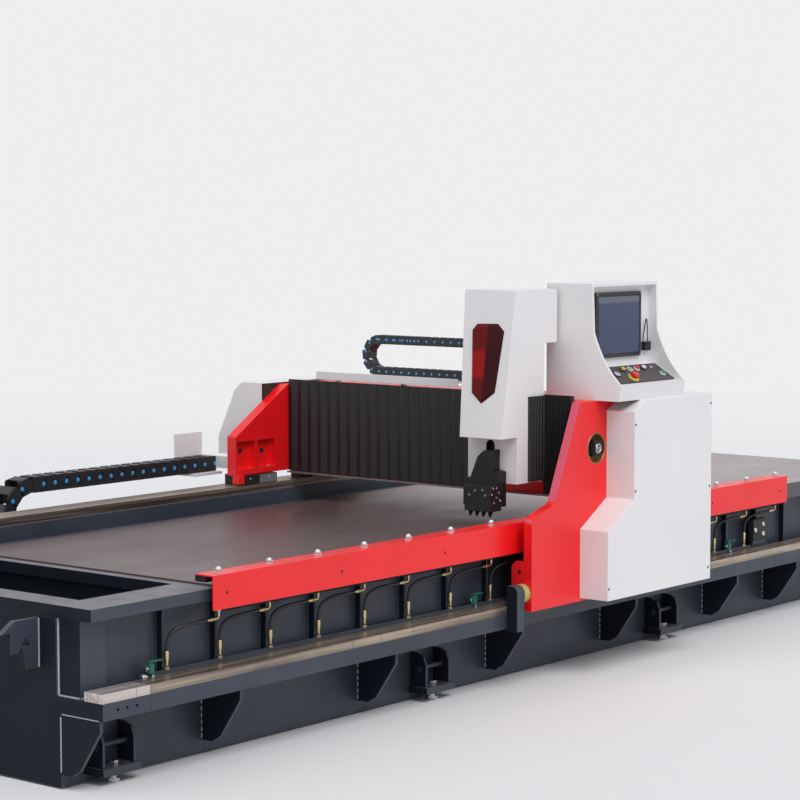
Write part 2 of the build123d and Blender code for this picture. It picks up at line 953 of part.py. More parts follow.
# Far leg: stands on the far guide blocks, with two recessed pockets in its inner face
far_leg_low = far_rail_top + running_gap + near_block_thick
with BuildPart() as far_leg:
    with BuildSketch(along(far_leg_y + far_leg_thick)):
        with BuildLine():
            Polyline(
                (far_leg_left, far_leg_low),
                (far_leg_left, far_leg_shoulder),
                (leg_top_left, leg_top),
                (leg_back, leg_top),
                (leg_back, far_leg_low),
                close=True,
            )
        make_face()
    extrude(amount=far_leg_thick)
    for x0, x1 in far_pockets:
        pocket_y = (far_leg_y, far_leg_y + far_pocket_depth)
        bar((x0, x1), pocket_y, (far_pocket_low, far_pocket_high), Mode.SUBTRACT)
save(far_leg.part, "far_leg")

# Crossbeam: a hollow section between the legs, recessed at the front for the screw
with BuildPart() as crossbeam:
    with BuildSketch(along(far_leg_y)):
        with BuildLine():
            Polyline(
                (beam_left, beam_low),
                (beam_right, beam_low),
                (beam_right, leg_top),
                (beam_left, leg_top),
                (beam_left, recess_high),
                (recess_back, recess_high),
                (recess_back, recess_low),
                (beam_left, recess_low),
                close=True,
            )
        make_face()
        with BuildLine():
            Polyline(
                (recess_back + beam_wall, beam_low + beam_wall),
                (beam_right - beam_wall, beam_low + beam_wall),
                (beam_right - beam_wall, leg_top - beam_wall),
                (recess_back + beam_wall, leg_top - beam_wall),
                close=True,
            )
        make_face(mode=Mode.SUBTRACT)
    extrude(amount=far_leg_y + leg_face - leg_thick)
    beam_y = (leg_thick - leg_face, far_leg_y)
    bar((beam_lip_left, beam_lip_right), beam_y, (beam_lip_low, beam_lip_low + beam_lip_thick))
    bar((beam_left, beam_lip_right), beam_y, (beam_lip_low + beam_lip_thick, beam_low))
save(crossbeam.part, "crossbeam")

# Guide blocks: two on each rail, the near ones lipped over the rail's outer edge
near_block_low = near_rail_top + running_gap
with BuildPart() as guide_blocks:
    for n in range(2):
        x = (block_start + n * block_gap, block_start + n * block_gap + block_length)
        block_z = (near_block_low, near_block_low + near_block_thick)
        bar(x, (leg_thick - leg_face, -near_block_inner), block_z)
        outer_lip = (leg_thick - leg_face, -ledge_reach - running_gap)
        bar(x, outer_lip, (near_block_low - near_lip_drop, near_block_low))
        bar(x, far_rail_y, (far_rail_top + running_gap, far_leg_low))
save(guide_blocks.part, "guide_blocks")

# Cabinet cover: a sheet box on the near leg over the drive, open towards the leg
cabinet_outline = [
    (cabinet_foot_left, cabinet_low),
    (cabinet_foot_left, cabinet_knee),
    (cabinet_left, cabinet_waist),
    (cabinet_left, cabinet_shoulder),
    (cabinet_corner, leg_top),
    (cabinet_right, leg_top),
    (cabinet_right, cabinet_low),
]
with BuildPart() as cabinet_cover:
    with BuildSketch(along(-leg_face)):
        with BuildLine():
            Polyline(*cabinet_outline, close=True)
        make_face()
    extrude(amount=cabinet_face - leg_face)
    offset(amount=-cover_wall, openings=cabinet_cover.faces().sort_by(Axis.Y)[-1])
save(cabinet_cover.part, "cabinet_cover")

# Far cover: a sheet hood on the far leg over the long travel's far wiring
far_face = far_leg_y + far_leg_thick
with BuildPart() as far_cover:
    with BuildSketch(across(far_cover_left)):
        with BuildLine():
            Polyline(
                (far_face, far_cover_low),
                (far_face, far_cover_top),
                (far_cover_flat, far_cover_top),
                (far_cover_chamfer, far_cover_chamfer_z),
                (far_cover_reach, far_cover_waist),
                (far_cover_reach, far_cover_low),
                close=True,
            )
        make_face()
    extrude(amount=far_cover_right - far_cover_left)
    offset(amount=-cover_wall, openings=far_cover.faces().sort_by(Axis.Y)[0])
save(far_cover.part, "far_cover")

# Chain bracket: an arm from the far leg to the end of the long-travel chain
bracket_x = (x_chain_end, x_chain_end + bracket_plate)
chain_low = x_chain_top - x_chain_height / 2
with BuildPart() as chain_bracket:
    chain_high = x_chain_top + x_chain_height / 2
    bar(bracket_x, (far_face, bracket_far), (far_leg_low + running_gap, chain_high))
    bar(bracket_x, (bracket_far, x_chain_face), (chain_low - bracket_plate, chain_high))
    upright_y = (bracket_far - bracket_plate, bracket_far)
    bar((bracket_left, bracket_x[1]), upright_y, (chain_low, bracket_high))
    seat_y = (bracket_far - bracket_plate, x_chain_face)
    bar((bracket_left, bracket_x[1]), seat_y, (chain_low - bracket_plate, chain_low))
save(chain_bracket.part, "chain_bracket")

# Drive of the long travel: gearbox on the leg's outer face and its motor
with BuildPart() as x_drive:
    half = gearbox_width / 2
    gearbox_y = (-leg_face - gearbox_depth, -leg_face)
    bar((pinion_x - half, pinion_x + half), gearbox_y, (pinion_z - half, pinion_z + half))
    with BuildSketch(across(pinion_x + half)):
        with Locations((-leg_face - gearbox_depth / 2, pinion_z)):
            RegularPolygon(motor_radius, round_sides)
    extrude(amount=motor_length)
    with BuildSketch(along(-leg_face)):
        with Locations((pinion_x, pinion_z)):
            bore = pinion_shaft_radius + shaft_fit
            RegularPolygon(bore, round_sides, major_radius=False)
    bore_depth = table_overhang + rack_thick + pinion_shaft_depth + running_gap - leg_face
    extrude(amount=bore_depth, mode=Mode.SUBTRACT)
save(x_drive.part, "x_drive")

# Drive pinion: in mesh with the rack, bolted to the end of its shaft through the near leg
with BuildPart() as drive_pinion:
    with BuildSketch(along(-table_overhang)):
        with BuildLine():
            outline = []
            tooth_reaches = (-pinion_root, pinion_tip, pinion_tip, -pinion_root)
            for n in range(pinion_teeth):
                for share, reach in zip(tooth_shares, tooth_reaches):
                    turn = pi / 2 + 2 * pi * (n + share) / pinion_teeth
                    radius = pinion_radius + reach
                    outline.append((pinion_x + radius * cos(turn), pinion_z + radius * sin(turn)))
            Polyline(*outline, close=True)
        make_face()
    extrude(amount=rack_thick)
    with BuildSketch(along(-table_overhang - rack_thick - shaft_fit)):
        with Locations((pinion_x, pinion_z)):
            Circle(pinion_shaft_radius)
    extrude(amount=pinion_shaft_depth - shaft_fit)
save(drive_pinion.part, "drive_pinion")

# Screw bearings: a block at each end of the beam's recess
near_inner = leg_thick - leg_face
bearing_stations = (near_inner, far_leg_y - bearing_thick)
with BuildPart() as screw_bearings:
    for y in bearing_stations:
        z = (screw_z - bearing_half_height, screw_z + bearing_half_height)
        bar((screw_x - bearing_half_width, recess_back), (y, y + bearing_thick), z)
        with BuildSketch(along(y + bearing_thick)):
            with Locations((screw_x, screw_z)):
                bore = screw_radius + shaft_fit
                RegularPolygon(bore, round_sides, major_radius=False)
        extrude(amount=bearing_thick, mode=Mode.SUBTRACT)
save(screw_bearings.part, "screw_bearings")

# Cross-travel screw: runs in the beam's recess through both bearings
with BuildPart() as y_screw:
    with BuildSketch(along(far_leg_y - running_gap)):
        with Locations((screw_x, screw_z)):
            Circle(screw_radius)
    extrude(amount=far_leg_y - running_gap - near_inner + screw_out)
save(y_screw.part, "y_screw")

# Cross-travel rails on the beam's front
with BuildPart() as y_rails:
    for z in rail_z:
        bar((beam_left - y_rail_proud, beam_left), beam_y, (z - y_rail_height / 2, z + y_rail_height / 2))
save(y_rails.part, "y_rails")


def pleats(start, end, count):
    # A pleated wall seen from above: sharp folds to the front, a thin web behind
    step = (end - start) / count
    front = [(bellows_plane + bellows_fold, start)]
    for n in range(count):
        front.append((bellows_plane, start + n * step + step / 2))
        front.append((bellows_plane + bellows_fold, start + (n + 1) * step))
    return front + [(bellows_plane + bellows_depth, end), (bellows_plane + bellows_depth, start)]


# Bellows: pleated covers over the rails on both sides of the head
bellows_ends = (
    ("bellows_left", head_far + running_gap, far_leg_y - running_gap, left_pleats),
    ("bellows_right", near_inner + running_gap, -body_near - running_gap, right_pleats),
)
for label, start, end, count in bellows_ends:
    with BuildPart() as bellows:
        with BuildSketch(level(bellows_low)):
            with BuildLine():
                Polyline(*pleats(start, end, count), close=True)
            make_face()
        extrude(amount=bellows_high - bellows_low)
    save(bellows.part, label)

# Chain tray: a folded sheet on posts over the beam, with a front lip
tray_top = y_chain_base - y_chain_height / 2 - chain_seat
with BuildPart() as chain_tray:
    tray_y = (tray_near, tray_far)
    bar((tray_left, tray_right), tray_y, (tray_top - tray_sheet, tray_top))
    bar((tray_left, tray_left + tray_sheet), tray_y, (tray_lip_low, tray_lip_high))
    for y in (tray_near, (tray_near + tray_far) / 2, tray_far - tray_post):
        bar((y_chain_line, y_chain_line + tray_post), (y, y + tray_post), (leg_top, tray_top - tray_sheet))
    bar((y_chain_line, tray_right), (tray_near, y_anchor), (tray_top, tray_lip_high))
save(chain_tray.part, "chain_tray")

# Cross-travel energy chain
y_chain_left = y_chain_line - y_chain_width / 2
with BuildPart() as y_chain_lower:
    with BuildSketch(across(y_chain_left)):
        with BuildLine():
            run = (y_anchor, y_bend_station, y_chain_base, y_chain_height, y_link_pitch)
            Polyline(*chain_outline(*run), close=True)
        make_face()
    extrude(amount=y_chain_width)
save(y_chain_lower.part, "y_chain_lower")

with BuildPart() as y_chain_upper:
    with BuildSketch(across(y_chain_left)):
        with BuildLine():
            run = (y_chain_end, y_bend_station, y_chain_top, y_chain_height, y_link_pitch)
            Polyline(*chain_outline(*run), close=True)
        make_face()
    extrude(amount=y_chain_width)
save(y_chain_upper.part, "y_chain_upper")

with BuildPart() as y_chain_bend:
    with BuildSketch(across(y_chain_left)):
        with BuildLine():
            turn = (y_bend_station, y_chain_base, y_chain_top, y_chain_height, y_bend_links, 1)
            Polyline(*bend_outline(*turn), close=True)
        make_face()
    extrude(amount=y_chain_width)
save(y_chain_bend.part, "y_chain_bend")

# Console housing: a folded cabinet between two shaped side wings, open underneath; its front is
# set back between the wings, under a short hood and over a sloping desk
with BuildPart() as console_housing:
    with BuildSketch(across(console_left + wing_thick)):
        with BuildLine():
            Polyline(
                (-console_back, leg_top),
                (-console_back, console_top),
                (-hood_reach, console_top),
                (-hood_reach, console_top - hood_drop),
                (-face_plane, console_top - hood_drop),
                (-face_plane, face_low),
                (-shelf_reach, panel_top_z),
                (-panel_low_y, panel_low_z),
                (-lip_y, lip_z),
                (-lip_foot, leg_top),
                close=True,
            )
        make_face()
    extrude(amount=console_right - console_left - 2 * wing_thick)
    offset(amount=-console_wall, openings=console_housing.faces().sort_by(Axis.Z)[0])
    for x in (console_left, console_right - wing_thick):
        with BuildSketch(across(x)):
            with BuildLine():
                Polyline(
                    (-lip_y, lip_z),
                    (-lip_foot, leg_top),
                    (-console_back, leg_top),
                    (-console_back, console_top),
                    (-hood_reach, console_top),
                    wing_curve[0],
                )
                Spline(*wing_curve)
            make_face()
        extrude(amount=wing_thick)
save(console_housing.part, "console_housing")

# Screen: a framed display on the console's upright front, and a small box beside it
with BuildPart() as screen:
    screen_x = (screen_left, screen_right)
    bar(screen_x, (-face_plane - screen_thick, -face_plane), (screen_low, screen_high))
    glass_x = (screen_left + screen_border, screen_right - screen_border)
    glass_y = (-face_plane - screen_thick, -face_plane - screen_thick + screen_recess)
    glass_z = (screen_low + screen_border, screen_high - screen_border)
    bar(glass_x, glass_y, glass_z, Mode.SUBTRACT)
    bar(side_box_x, (-face_plane - side_box_thick, -face_plane), side_box_z)
save(screen.part, "screen")

# Control panel: a plate on the console's slope with a collar for each button
slope = Vector(0, panel_low_y - shelf_reach, panel_top_z - panel_low_z)
slope_length = slope.length
panel_plane = Plane(
    origin=spot(0, -panel_low_y, panel_low_z),
    x_dir=(1, 0, 0),
    z_dir=(0, -slope.Z / slope_length, slope.Y / slope_length),
)
button_face = panel_plane.offset(panel_thick)
button_places = (
    ("yellow_button", (yellow_x, back_row)),
    ("red_button", (red_x, back_row)),
    ("white_button", (white_x, back_row)),
    ("green_button", green_place),
)
with BuildPart() as control_panel:
    with BuildSketch(panel_plane):
        with Locations(((panel_left + panel_right) / 2, slope_length / 2)):
            Rectangle(panel_right - panel_left, slope_length - 2 * panel_margin)
    extrude(amount=panel_thick)
    with BuildSketch(button_face):
        with Locations(*[place for label, place in button_places]):
            RegularPolygon(collar_radius, cap_sides)
            RegularPolygon(button_radius + running_gap, cap_sides, mode=Mode.SUBTRACT)
    extrude(amount=collar_height)
    with BuildSketch(button_face):
        with Locations((lamp_x, back_row)):
            RegularPolygon(collar_radius, cap_sides)
        with Locations(big_lamp):
            RegularPolygon(big_lamp_radius, cap_sides)
    extrude(amount=collar_height)
    with BuildSketch(button_face):
        with Locations(estop_place):
            RegularPolygon(estop_radius + collar_height, cap_sides)
            RegularPolygon(estop_stem + running_gap, cap_sides, mode=Mode.SUBTRACT)
    extrude(amount=collar_height)
save(control_panel.part, "control_panel")

# Push buttons: caps that sink into their collars
cap_base = button_travel + running_gap
for label, place in button_places:
    with BuildPart() as push_button:
        with BuildSketch(button_face.offset(cap_base)):
            with Locations(place):
                RegularPolygon(button_radius, cap_sides)
        extrude(amount=button_height)
    save(push_button.part, label)

# Emergency stop: a mushroom head on a stem in its yellow collar
with BuildPart() as e_stop:
    with BuildSketch(button_face.offset(cap_base)):
        with Locations(estop_place):
            RegularPolygon(estop_stem, cap_sides)
    extrude(amount=estop_height)
    with BuildSketch(button_face.offset(cap_base + collar_height)):
        with Locations(estop_place):
            RegularPolygon(estop_radius, cap_sides)
    extrude(amount=estop_height - collar_height)
save(e_stop.part, "e_stop")

# Key switch: a round barrel with a flat bow
with BuildPart() as key_switch:
    with BuildSketch(button_face.offset(running_gap)):
        with Locations((key_x, back_row)):
            Circle(key_radius)
    extrude(amount=key_height / 2)
    with BuildSketch(button_face.offset(running_gap + key_height / 2)):
        with Locations((key_x, back_row)):
            Rectangle(key_radius / 2, 2 * key_radius)
    extrude(amount=key_height / 2)
save(key_switch.part, "key_switch")

# Head carriage: the ribbed casting on the cross rails, with the screw nut, the front body that
# guides the tool slide, and the arm that carries the chain's end
with BuildPart() as head_carriage:
    bar((head_back_low, head_back_mid), (-body_near, body_far), (body_low, head_step_low))
    inside_x = (head_back_low + carriage_wall, head_back_mid - carriage_wall)
    middle_z = (body_low + head_step_low) / 2
    for z0, z1 in ((body_low, middle_z), (middle_z, head_step_low)):
        pocket_z = (z0 + carriage_wall, z1 - carriage_wall)
        bar(inside_x, (-body_near, body_far), pocket_z, Mode.SUBTRACT)
    bar((body_front, head_back_low), (-body_near, body_far), (body_low, head_low))
    with BuildSketch(across(body_front)) as slot_face:
        with Locations(((slot_near + slot_far) / 2, (body_low + slot_top) / 2)):
            Rectangle(slot_far - slot_near, slot_top - body_low)
        fillet(slot_face.vertices().group_by(Axis.Y)[-1], (slot_far - slot_near) / 2 - tongue_gap)
    extrude(amount=slot_depth, mode=Mode.SUBTRACT)
    block_near = (body_far - body_near - rail_block_length) / 2
    block_y = (block_near, block_near + rail_block_length)
    for z in rail_z:
        block_x = (head_back_mid, beam_left - 2 * running_gap)
        bar(block_x, block_y, (z - rail_block_height / 2, z + rail_block_height / 2))
        rail_x = (beam_left - y_rail_proud - running_gap, beam_left)
        half = y_rail_height / 2 + running_gap
        bar(rail_x, block_y, (z - half, z + half), Mode.SUBTRACT)
    nut_z = (screw_z - bearing_half_height, screw_z + bearing_half_height)
    bar((head_back_mid, screw_x + bearing_half_height), (nut_near, nut_far), nut_z)
    with BuildSketch(along(nut_far)):
        with Locations((screw_x, screw_z)):
            bore = screw_radius + running_gap
            RegularPolygon(bore, round_sides, major_radius=False)
    extrude(amount=nut_far - nut_near, mode=Mode.SUBTRACT)
    arm_high = y_chain_top + y_chain_height / 2
    post_x = (head_back_mid - 2 * carriage_wall, head_back_mid - head_wall)
    bar(post_x, (arm_near, arm_far), (head_step_low, arm_high))
    bar((post_x[0], y_chain_left + y_chain_width), (arm_near, arm_far), (arm_low, arm_high))
    bar((y_chain_left, y_chain_left + y_chain_width), (arm_far, y_chain_end), (arm_low, arm_high))
save(head_carriage.part, "head_carriage")

# Slide motor: stands on the front body inside the head cover
with BuildPart() as slide_motor:
    middle_y = (slot_near + slot_far) / 2
    motor_y = (middle_y - slide_motor_half, middle_y + slide_motor_half)
    bar((body_front, head_back_low - running_gap), motor_y, (head_low, head_low + slide_motor_height))
save(slide_motor.part, "slide_motor")

# The slanted front of the head cover: its own plane, with heights measured up the slope
front_rise = hypot(head_front_top - head_front_low, head_top - head_low)
front_lean = (head_front_top - head_front_low) / front_rise
front_up = (head_top - head_low) / front_rise
front_plane = Plane(
    origin=spot(head_front_low, 0, head_low),
    x_dir=(0, -1, 0),
    z_dir=(-front_up, 0, front_lean),
)
window_outline = [(-y, (z - head_low) / front_up) for y, z in window_corners]

# Head cover: a sheet hood, open underneath and behind, with the window's opening in its front
with BuildPart() as head_cover:
    with BuildSketch(along(head_far)):
        with BuildLine():
            Polyline(
                (head_front_low, head_low),
                (head_front_top, head_top),
                (head_back_top, head_top),
                (head_back_top, head_step_top),
                (head_back_mid, head_step_top),
                (head_back_mid, head_step_low),
                (head_back_low, head_step_low),
                (head_back_low, head_low),
                close=True,
            )
        make_face()
    extrude(amount=head_far + head_near)
    inner_low = head_front_low + head_wall / front_up
    inner_top = inner_low + (head_top - head_wall - head_low) * front_lean / front_up
    with BuildSketch(along(head_far - head_wall)):
        with BuildLine():
            Polyline(
                (inner_low, head_low),
                (inner_top, head_top - head_wall),
                (head_back_top - head_wall, head_top - head_wall),
                (head_back_top - head_wall, head_step_top + head_wall),
                (head_back_mid, head_step_top + head_wall),
                (head_back_mid, head_step_low),
                (head_back_low, head_step_low),
                (head_back_low, head_low),
                close=True,
            )
        make_face()
    extrude(amount=head_far + head_near - 2 * head_wall, mode=Mode.SUBTRACT)
    with BuildSketch(front_plane.offset(-window_rim)):
        with BuildLine():
            Polyline(*window_outline, close=True)
        make_face()
        offset(amount=-window_rim, mode=Mode.REPLACE)
    extrude(amount=2 * window_rim, mode=Mode.SUBTRACT)
save(head_cover.part, "head_cover")

# Head window: a faceted tinted pane on the cover's front
with BuildPart() as head_window:
    with BuildSketch(front_plane):
        with BuildLine():
            Polyline(*window_outline, close=True)
        make_face()
    with BuildSketch(front_plane.offset(window_proud)):
        with BuildLine():
            Polyline(*window_outline, close=True)
        make_face()
        offset(amount=-window_bevel, kind=Kind.INTERSECTION, mode=Mode.REPLACE)
    loft()
save(head_window.part, "head_window")

# Tool slide: the upright slide in front of the body, with a tongue in the body's slot
with BuildPart() as tool_slide:
    with BuildSketch(across(tool_front)):
        with BuildLine():
            Polyline((-tool_near, tool_low), *slide_profile, (tool_far, tool_low), close=True)
        make_face()
    extrude(amount=body_front - tool_front - running_gap)
    tongue_width = slot_far - slot_near - 2 * tongue_gap
    with BuildSketch(across(body_front - running_gap)) as tongue_face:
        with Locations(((slot_near + slot_far) / 2, (tool_low + tongue_high) / 2)):
            Rectangle(tongue_width, tongue_high - tool_low)
        fillet(tongue_face.vertices().group_by(Axis.Y)[-1], tongue_width / 2 - tongue_gap)
    extrude(amount=slot_depth + running_gap - tongue_gap)
save(tool_slide.part, "tool_slide")

# Tool holder: the clamp block on the slide with a row of narrow cutters underneath
with BuildPart() as tool_holder:
    bar((holder_front, tool_front), (-holder_near, holder_far), (holder_low, holder_high))
    spacing = (holder_far + holder_near) / cutter_count
    for n in range(cutter_count):
        y = -holder_near + n * spacing + spacing / 2
        with BuildSketch(along(y + cutter_width / 2)):
            with BuildLine():
                Polyline(
                    (holder_front + cutter_width, holder_low),
                    (holder_front + 2 * cutter_width, holder_low - cutter_drop),
                    (holder_front + 4 * cutter_width, holder_low),
                    close=True,
                )
            make_face()
        extrude(amount=cutter_width)
save(tool_holder.part, "tool_holder")
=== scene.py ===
import json
from math import cos, pi, radians, sin

import bmesh
import bpy
from mathutils import Matrix, Vector

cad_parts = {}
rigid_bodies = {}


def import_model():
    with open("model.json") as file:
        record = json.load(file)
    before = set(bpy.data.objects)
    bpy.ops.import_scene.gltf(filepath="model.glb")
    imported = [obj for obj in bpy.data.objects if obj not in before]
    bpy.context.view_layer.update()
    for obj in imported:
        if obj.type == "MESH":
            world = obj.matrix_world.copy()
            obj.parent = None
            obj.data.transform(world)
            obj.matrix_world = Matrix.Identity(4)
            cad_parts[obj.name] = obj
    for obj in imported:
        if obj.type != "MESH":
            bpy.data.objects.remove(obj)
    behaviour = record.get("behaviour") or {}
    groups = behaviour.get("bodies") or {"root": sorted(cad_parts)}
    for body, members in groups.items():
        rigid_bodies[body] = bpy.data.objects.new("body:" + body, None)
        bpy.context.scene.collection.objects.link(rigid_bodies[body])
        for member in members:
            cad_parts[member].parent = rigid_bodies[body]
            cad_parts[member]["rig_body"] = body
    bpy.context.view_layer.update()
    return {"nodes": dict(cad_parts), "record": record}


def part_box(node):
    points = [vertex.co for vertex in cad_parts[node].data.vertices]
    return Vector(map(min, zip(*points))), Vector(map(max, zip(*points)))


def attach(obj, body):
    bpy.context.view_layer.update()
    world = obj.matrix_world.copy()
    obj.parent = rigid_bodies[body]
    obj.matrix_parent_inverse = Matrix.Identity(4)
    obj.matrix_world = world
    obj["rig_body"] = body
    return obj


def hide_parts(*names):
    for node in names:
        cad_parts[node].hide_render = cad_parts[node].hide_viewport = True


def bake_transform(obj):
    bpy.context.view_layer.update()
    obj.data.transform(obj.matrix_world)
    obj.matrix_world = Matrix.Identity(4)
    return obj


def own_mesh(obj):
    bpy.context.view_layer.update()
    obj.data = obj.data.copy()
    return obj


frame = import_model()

nodes = frame["nodes"]
record = frame["record"]
scene = bpy.context.scene

# The machine's own stations, in millimetres: x from the bed's left end, y from the lower near
# wall's face, z from the floor. Every place below is read from a CAD node or given as a station.
rail_overhang = 0.214
wall_low, wall_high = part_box("near_wall")
datum_x = wall_low.x
datum_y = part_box("x_rails")[0].y + rail_overhang
bed_length = wall_high.x * 1000 - datum_x * 1000
ledge_joint = 234
left, right = (-1, 0, 0), (1, 0, 0)
near, far = (0, -1, 0), (0, 1, 0)
down, up = (0, 0, -1), (0, 0, 1)


def at(x, y, z):
    return Vector((datum_x + x / 1000, datum_y + y / 1000, z / 1000))


def stations(node):
    # A CAD node's box in stations
    low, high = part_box(node)
    shift = Vector((datum_x, datum_y, 0))
    return (low - shift) * 1000, (high - shift) * 1000


# Mesh building


def round_edges(part, edges, width, clamp=True):
    bmesh.ops.bevel(
        part, geom=edges, offset=width, segments=2, affect="EDGES", clamp_overlap=clamp,
    )


def stitch(part, lower, upper):
    # Four-sided faces between two rings of the same count
    for n in range(len(lower)):
        m = (n + 1) % len(lower)
        part.faces.new((lower[n], lower[m], upper[m], upper[n]))


class Piece:
    """One mesh of the object, put together from simple bevelled forms given in stations."""

    def __init__(self, name, body, slot, look=None):
        self.name = name
        self.body = body
        self.slot = slot
        self.material = looks[look or slot]
        self.bm = bmesh.new()

    def take(self, part, matrix=None):
        if matrix is not None:
            bmesh.ops.transform(part, matrix=matrix, verts=part.verts)
        mesh = bpy.data.meshes.new("part")
        part.to_mesh(mesh)
        part.free()
        self.bm.from_mesh(mesh)
        bpy.data.meshes.remove(mesh)

    def box(self, x, y, z, bevel=0.0):
        part = bmesh.new()
        bmesh.ops.create_cube(part, size=1)
        size = Vector((x[1] - x[0], y[1] - y[0], z[1] - z[0]))
        for v in part.verts:
            v.co = Vector((v.co.x * size.x, v.co.y * size.y, v.co.z * size.z))
        if bevel:
            round_edges(part, part.edges[:], min(bevel, min(size) * 0.45), clamp=False)
        centre = Vector(((x[0] + x[1]) / 2, (y[0] + y[1]) / 2, (z[0] + z[1]) / 2))
        self.take(part, Matrix.Translation(centre))

    def lathe(self, start, axis, profile, sides=24, ring=False):
        # A turned form: profile holds (distance along the axis, radius) pairs from start, and a
        # ring's profile goes once round its section
        part = bmesh.new()
        rings = []
        for along_axis, radius in profile:
            if radius <= 0:
                rings.append([part.verts.new((0, 0, along_axis))])
            else:
                circle = []
                for n in range(sides):
                    a = 2 * pi * n / sides
                    circle.append(part.verts.new((radius * cos(a), radius * sin(a), along_axis)))
                rings.append(circle)
        following = rings[1:] + rings[:1] if ring else rings[1:]
        for lower, upper in zip(rings, following):
            if len(lower) > 1 and len(upper) > 1:
                stitch(part, lower, upper)
            elif len(lower) > 1:
                for n in range(sides):
                    part.faces.new((lower[n], lower[(n + 1) % sides], upper[0]))
        if len(rings[0]) > 1 and not ring:
            part.faces.new(rings[0][::-1])
        if len(rings[-1]) > 1 and not ring:
            part.faces.new(rings[-1])
        turn = Vector(axis).normalized().to_track_quat("Z", "Y").to_matrix().to_4x4()
        self.take(part, Matrix.Translation(Vector(start)) @ turn)

    def disc(self, start, axis, radius, length, edge=1.0, sides=24):
        edge = min(edge, radius * 0.4, length * 0.45)
        self.lathe(start, axis, [(0, radius), (length - edge, radius), (length, radius - edge)], sides)

    def dome(self, start, axis, radius, height, sides=20):
        steps = 5
        profile = []
        for n in range(steps):
            a = pi / 2 * n / steps
            profile.append((height * sin(a), radius * cos(a)))
        self.lathe(start, axis, profile + [(height, 0)], sides)

    def hexagon(self, start, axis, radius, length):
        edge = length * 0.12
        self.lathe(start, axis, [(0, radius), (length - edge, radius), (length, radius - edge)], 6)

    def collar(self, start, axis, outer, inner, length, edge=1.0, sides=32):
        # A flat ring with its outer and inner edges broken at the far face
        section = [(0, outer), (length - edge, outer), (length, outer - edge)]
        section += [(length, inner + edge), (length - edge, inner), (0, inner)]
        self.lathe(start, axis, section, sides, ring=True)

    def bead(self, start, end, radius=3.2):
        # A weld bead: a thin rod that swells and narrows once a ripple
        ripple = 8
        narrow = 0.72
        run = Vector(end) - Vector(start)
        count = 2 * max(1, round(run.length / ripple))
        profile = []
        for n in range(count + 1):
            profile.append((run.length * n / count, radius * (1.0 if n % 2 else narrow)))
        self.lathe(start, run, profile, 8)

    def prism(self, outline, origin, u, v, depth, bevel=0.0):
        # A flat outline in the plane of u and v, pushed out along u x v by depth
        part = bmesh.new()
        u = Vector(u)
        v = Vector(v)
        w = u.cross(v).normalized()
        part.faces.new([part.verts.new(Vector(origin) + u * a + v * b) for a, b in outline])
        pushed = bmesh.ops.extrude_face_region(part, geom=part.faces[:])
        moved = [g for g in pushed["geom"] if isinstance(g, bmesh.types.BMVert)]
        bmesh.ops.translate(part, verts=moved, vec=w * depth)
        bmesh.ops.recalc_face_normals(part, faces=part.faces[:])
        if bevel:
            round_edges(part, part.edges[:], bevel)
        self.take(part)

    def tube(self, points, radius, sides=12):
        # A round bar or hose along a list of points, with closed ends
        part = bmesh.new()
        points = [Vector(p) for p in points]
        rings = []
        normal = None
        for n, p in enumerate(points):
            before = points[max(n - 1, 0)]
            after = points[min(n + 1, len(points) - 1)]
            tangent = (after - before).normalized()
            if normal is None:
                normal = tangent.orthogonal().normalized()
            normal = (normal - tangent * normal.dot(tangent)).normalized()
            across = tangent.cross(normal)
            circle = []
            for k in range(sides):
                a = 2 * pi * k / sides
                circle.append(part.verts.new(p + radius * (normal * cos(a) + across * sin(a))))
            rings.append(circle)
        for lower, upper in zip(rings, rings[1:]):
            stitch(part, lower, upper)
        part.faces.new(rings[0][::-1])
        part.faces.new(rings[-1])
        self.take(part)

    def make(self, replaces=(), smooth=35):
        mesh = bpy.data.meshes.new(self.name)
        for v in self.bm.verts:
            v.co = at(*v.co)
        bmesh.ops.recalc_face_normals(self.bm, faces=self.bm.faces[:])
        self.bm.to_mesh(mesh)
        self.bm.free()
        mesh.shade_smooth()
        mesh.set_sharp_from_angle(angle=radians(smooth))
        mesh.materials.append(self.material)
        made = bpy.data.objects.new(self.name, mesh)
        scene.collection.objects.link(made)
        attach(made, self.body)
        if replaces:
            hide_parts(*replaces)
        return made


# Materials

looks = {}


def shade(colour, factor):
    return tuple(min(1.0, c * factor) for c in colour)


class Tree:
    """A node tree, put together node by node."""

    def __init__(self, tree):
        self.tree = tree

    def fill(self, node, inputs):
        # Each input gets another node's output or a constant of its own
        for key, value in inputs.items():
            socket = node.inputs[key]
            if isinstance(value, bpy.types.NodeSocket):
                self.tree.links.new(value, socket)
            else:
                socket.default_value = (*value, 1) if socket.type == "RGBA" else value
        return node

    def node(self, kind, inputs, operation=None):
        made = self.tree.nodes.new(kind)
        if operation is not None:
            made.operation = operation
        return self.fill(made, inputs)

    def ramp(self, value, low, high, dark=0.0, light=1.0):
        limits = {"From Min": low, "From Max": high, "To Min": dark, "To Max": light}
        return self.node("ShaderNodeMapRange", {"Value": value, **limits}).outputs["Result"]

    def product(self, first, second):
        return self.node("ShaderNodeMath", {0: first, 1: second}, "MULTIPLY").outputs["Value"]

    def seen_rays(self):
        # One for rays that show the background, straight, in a gloss or through glass, else nought
        rays = self.node("ShaderNodeLightPath", {})
        total = rays.outputs["Is Camera Ray"]
        for kind in ("Is Glossy Ray", "Is Transmission Ray"):
            added = self.node("ShaderNodeMath", {0: total, 1: rays.outputs[kind]}, "ADD")
            added.use_clamp = True
            total = added.outputs["Value"]
        return total


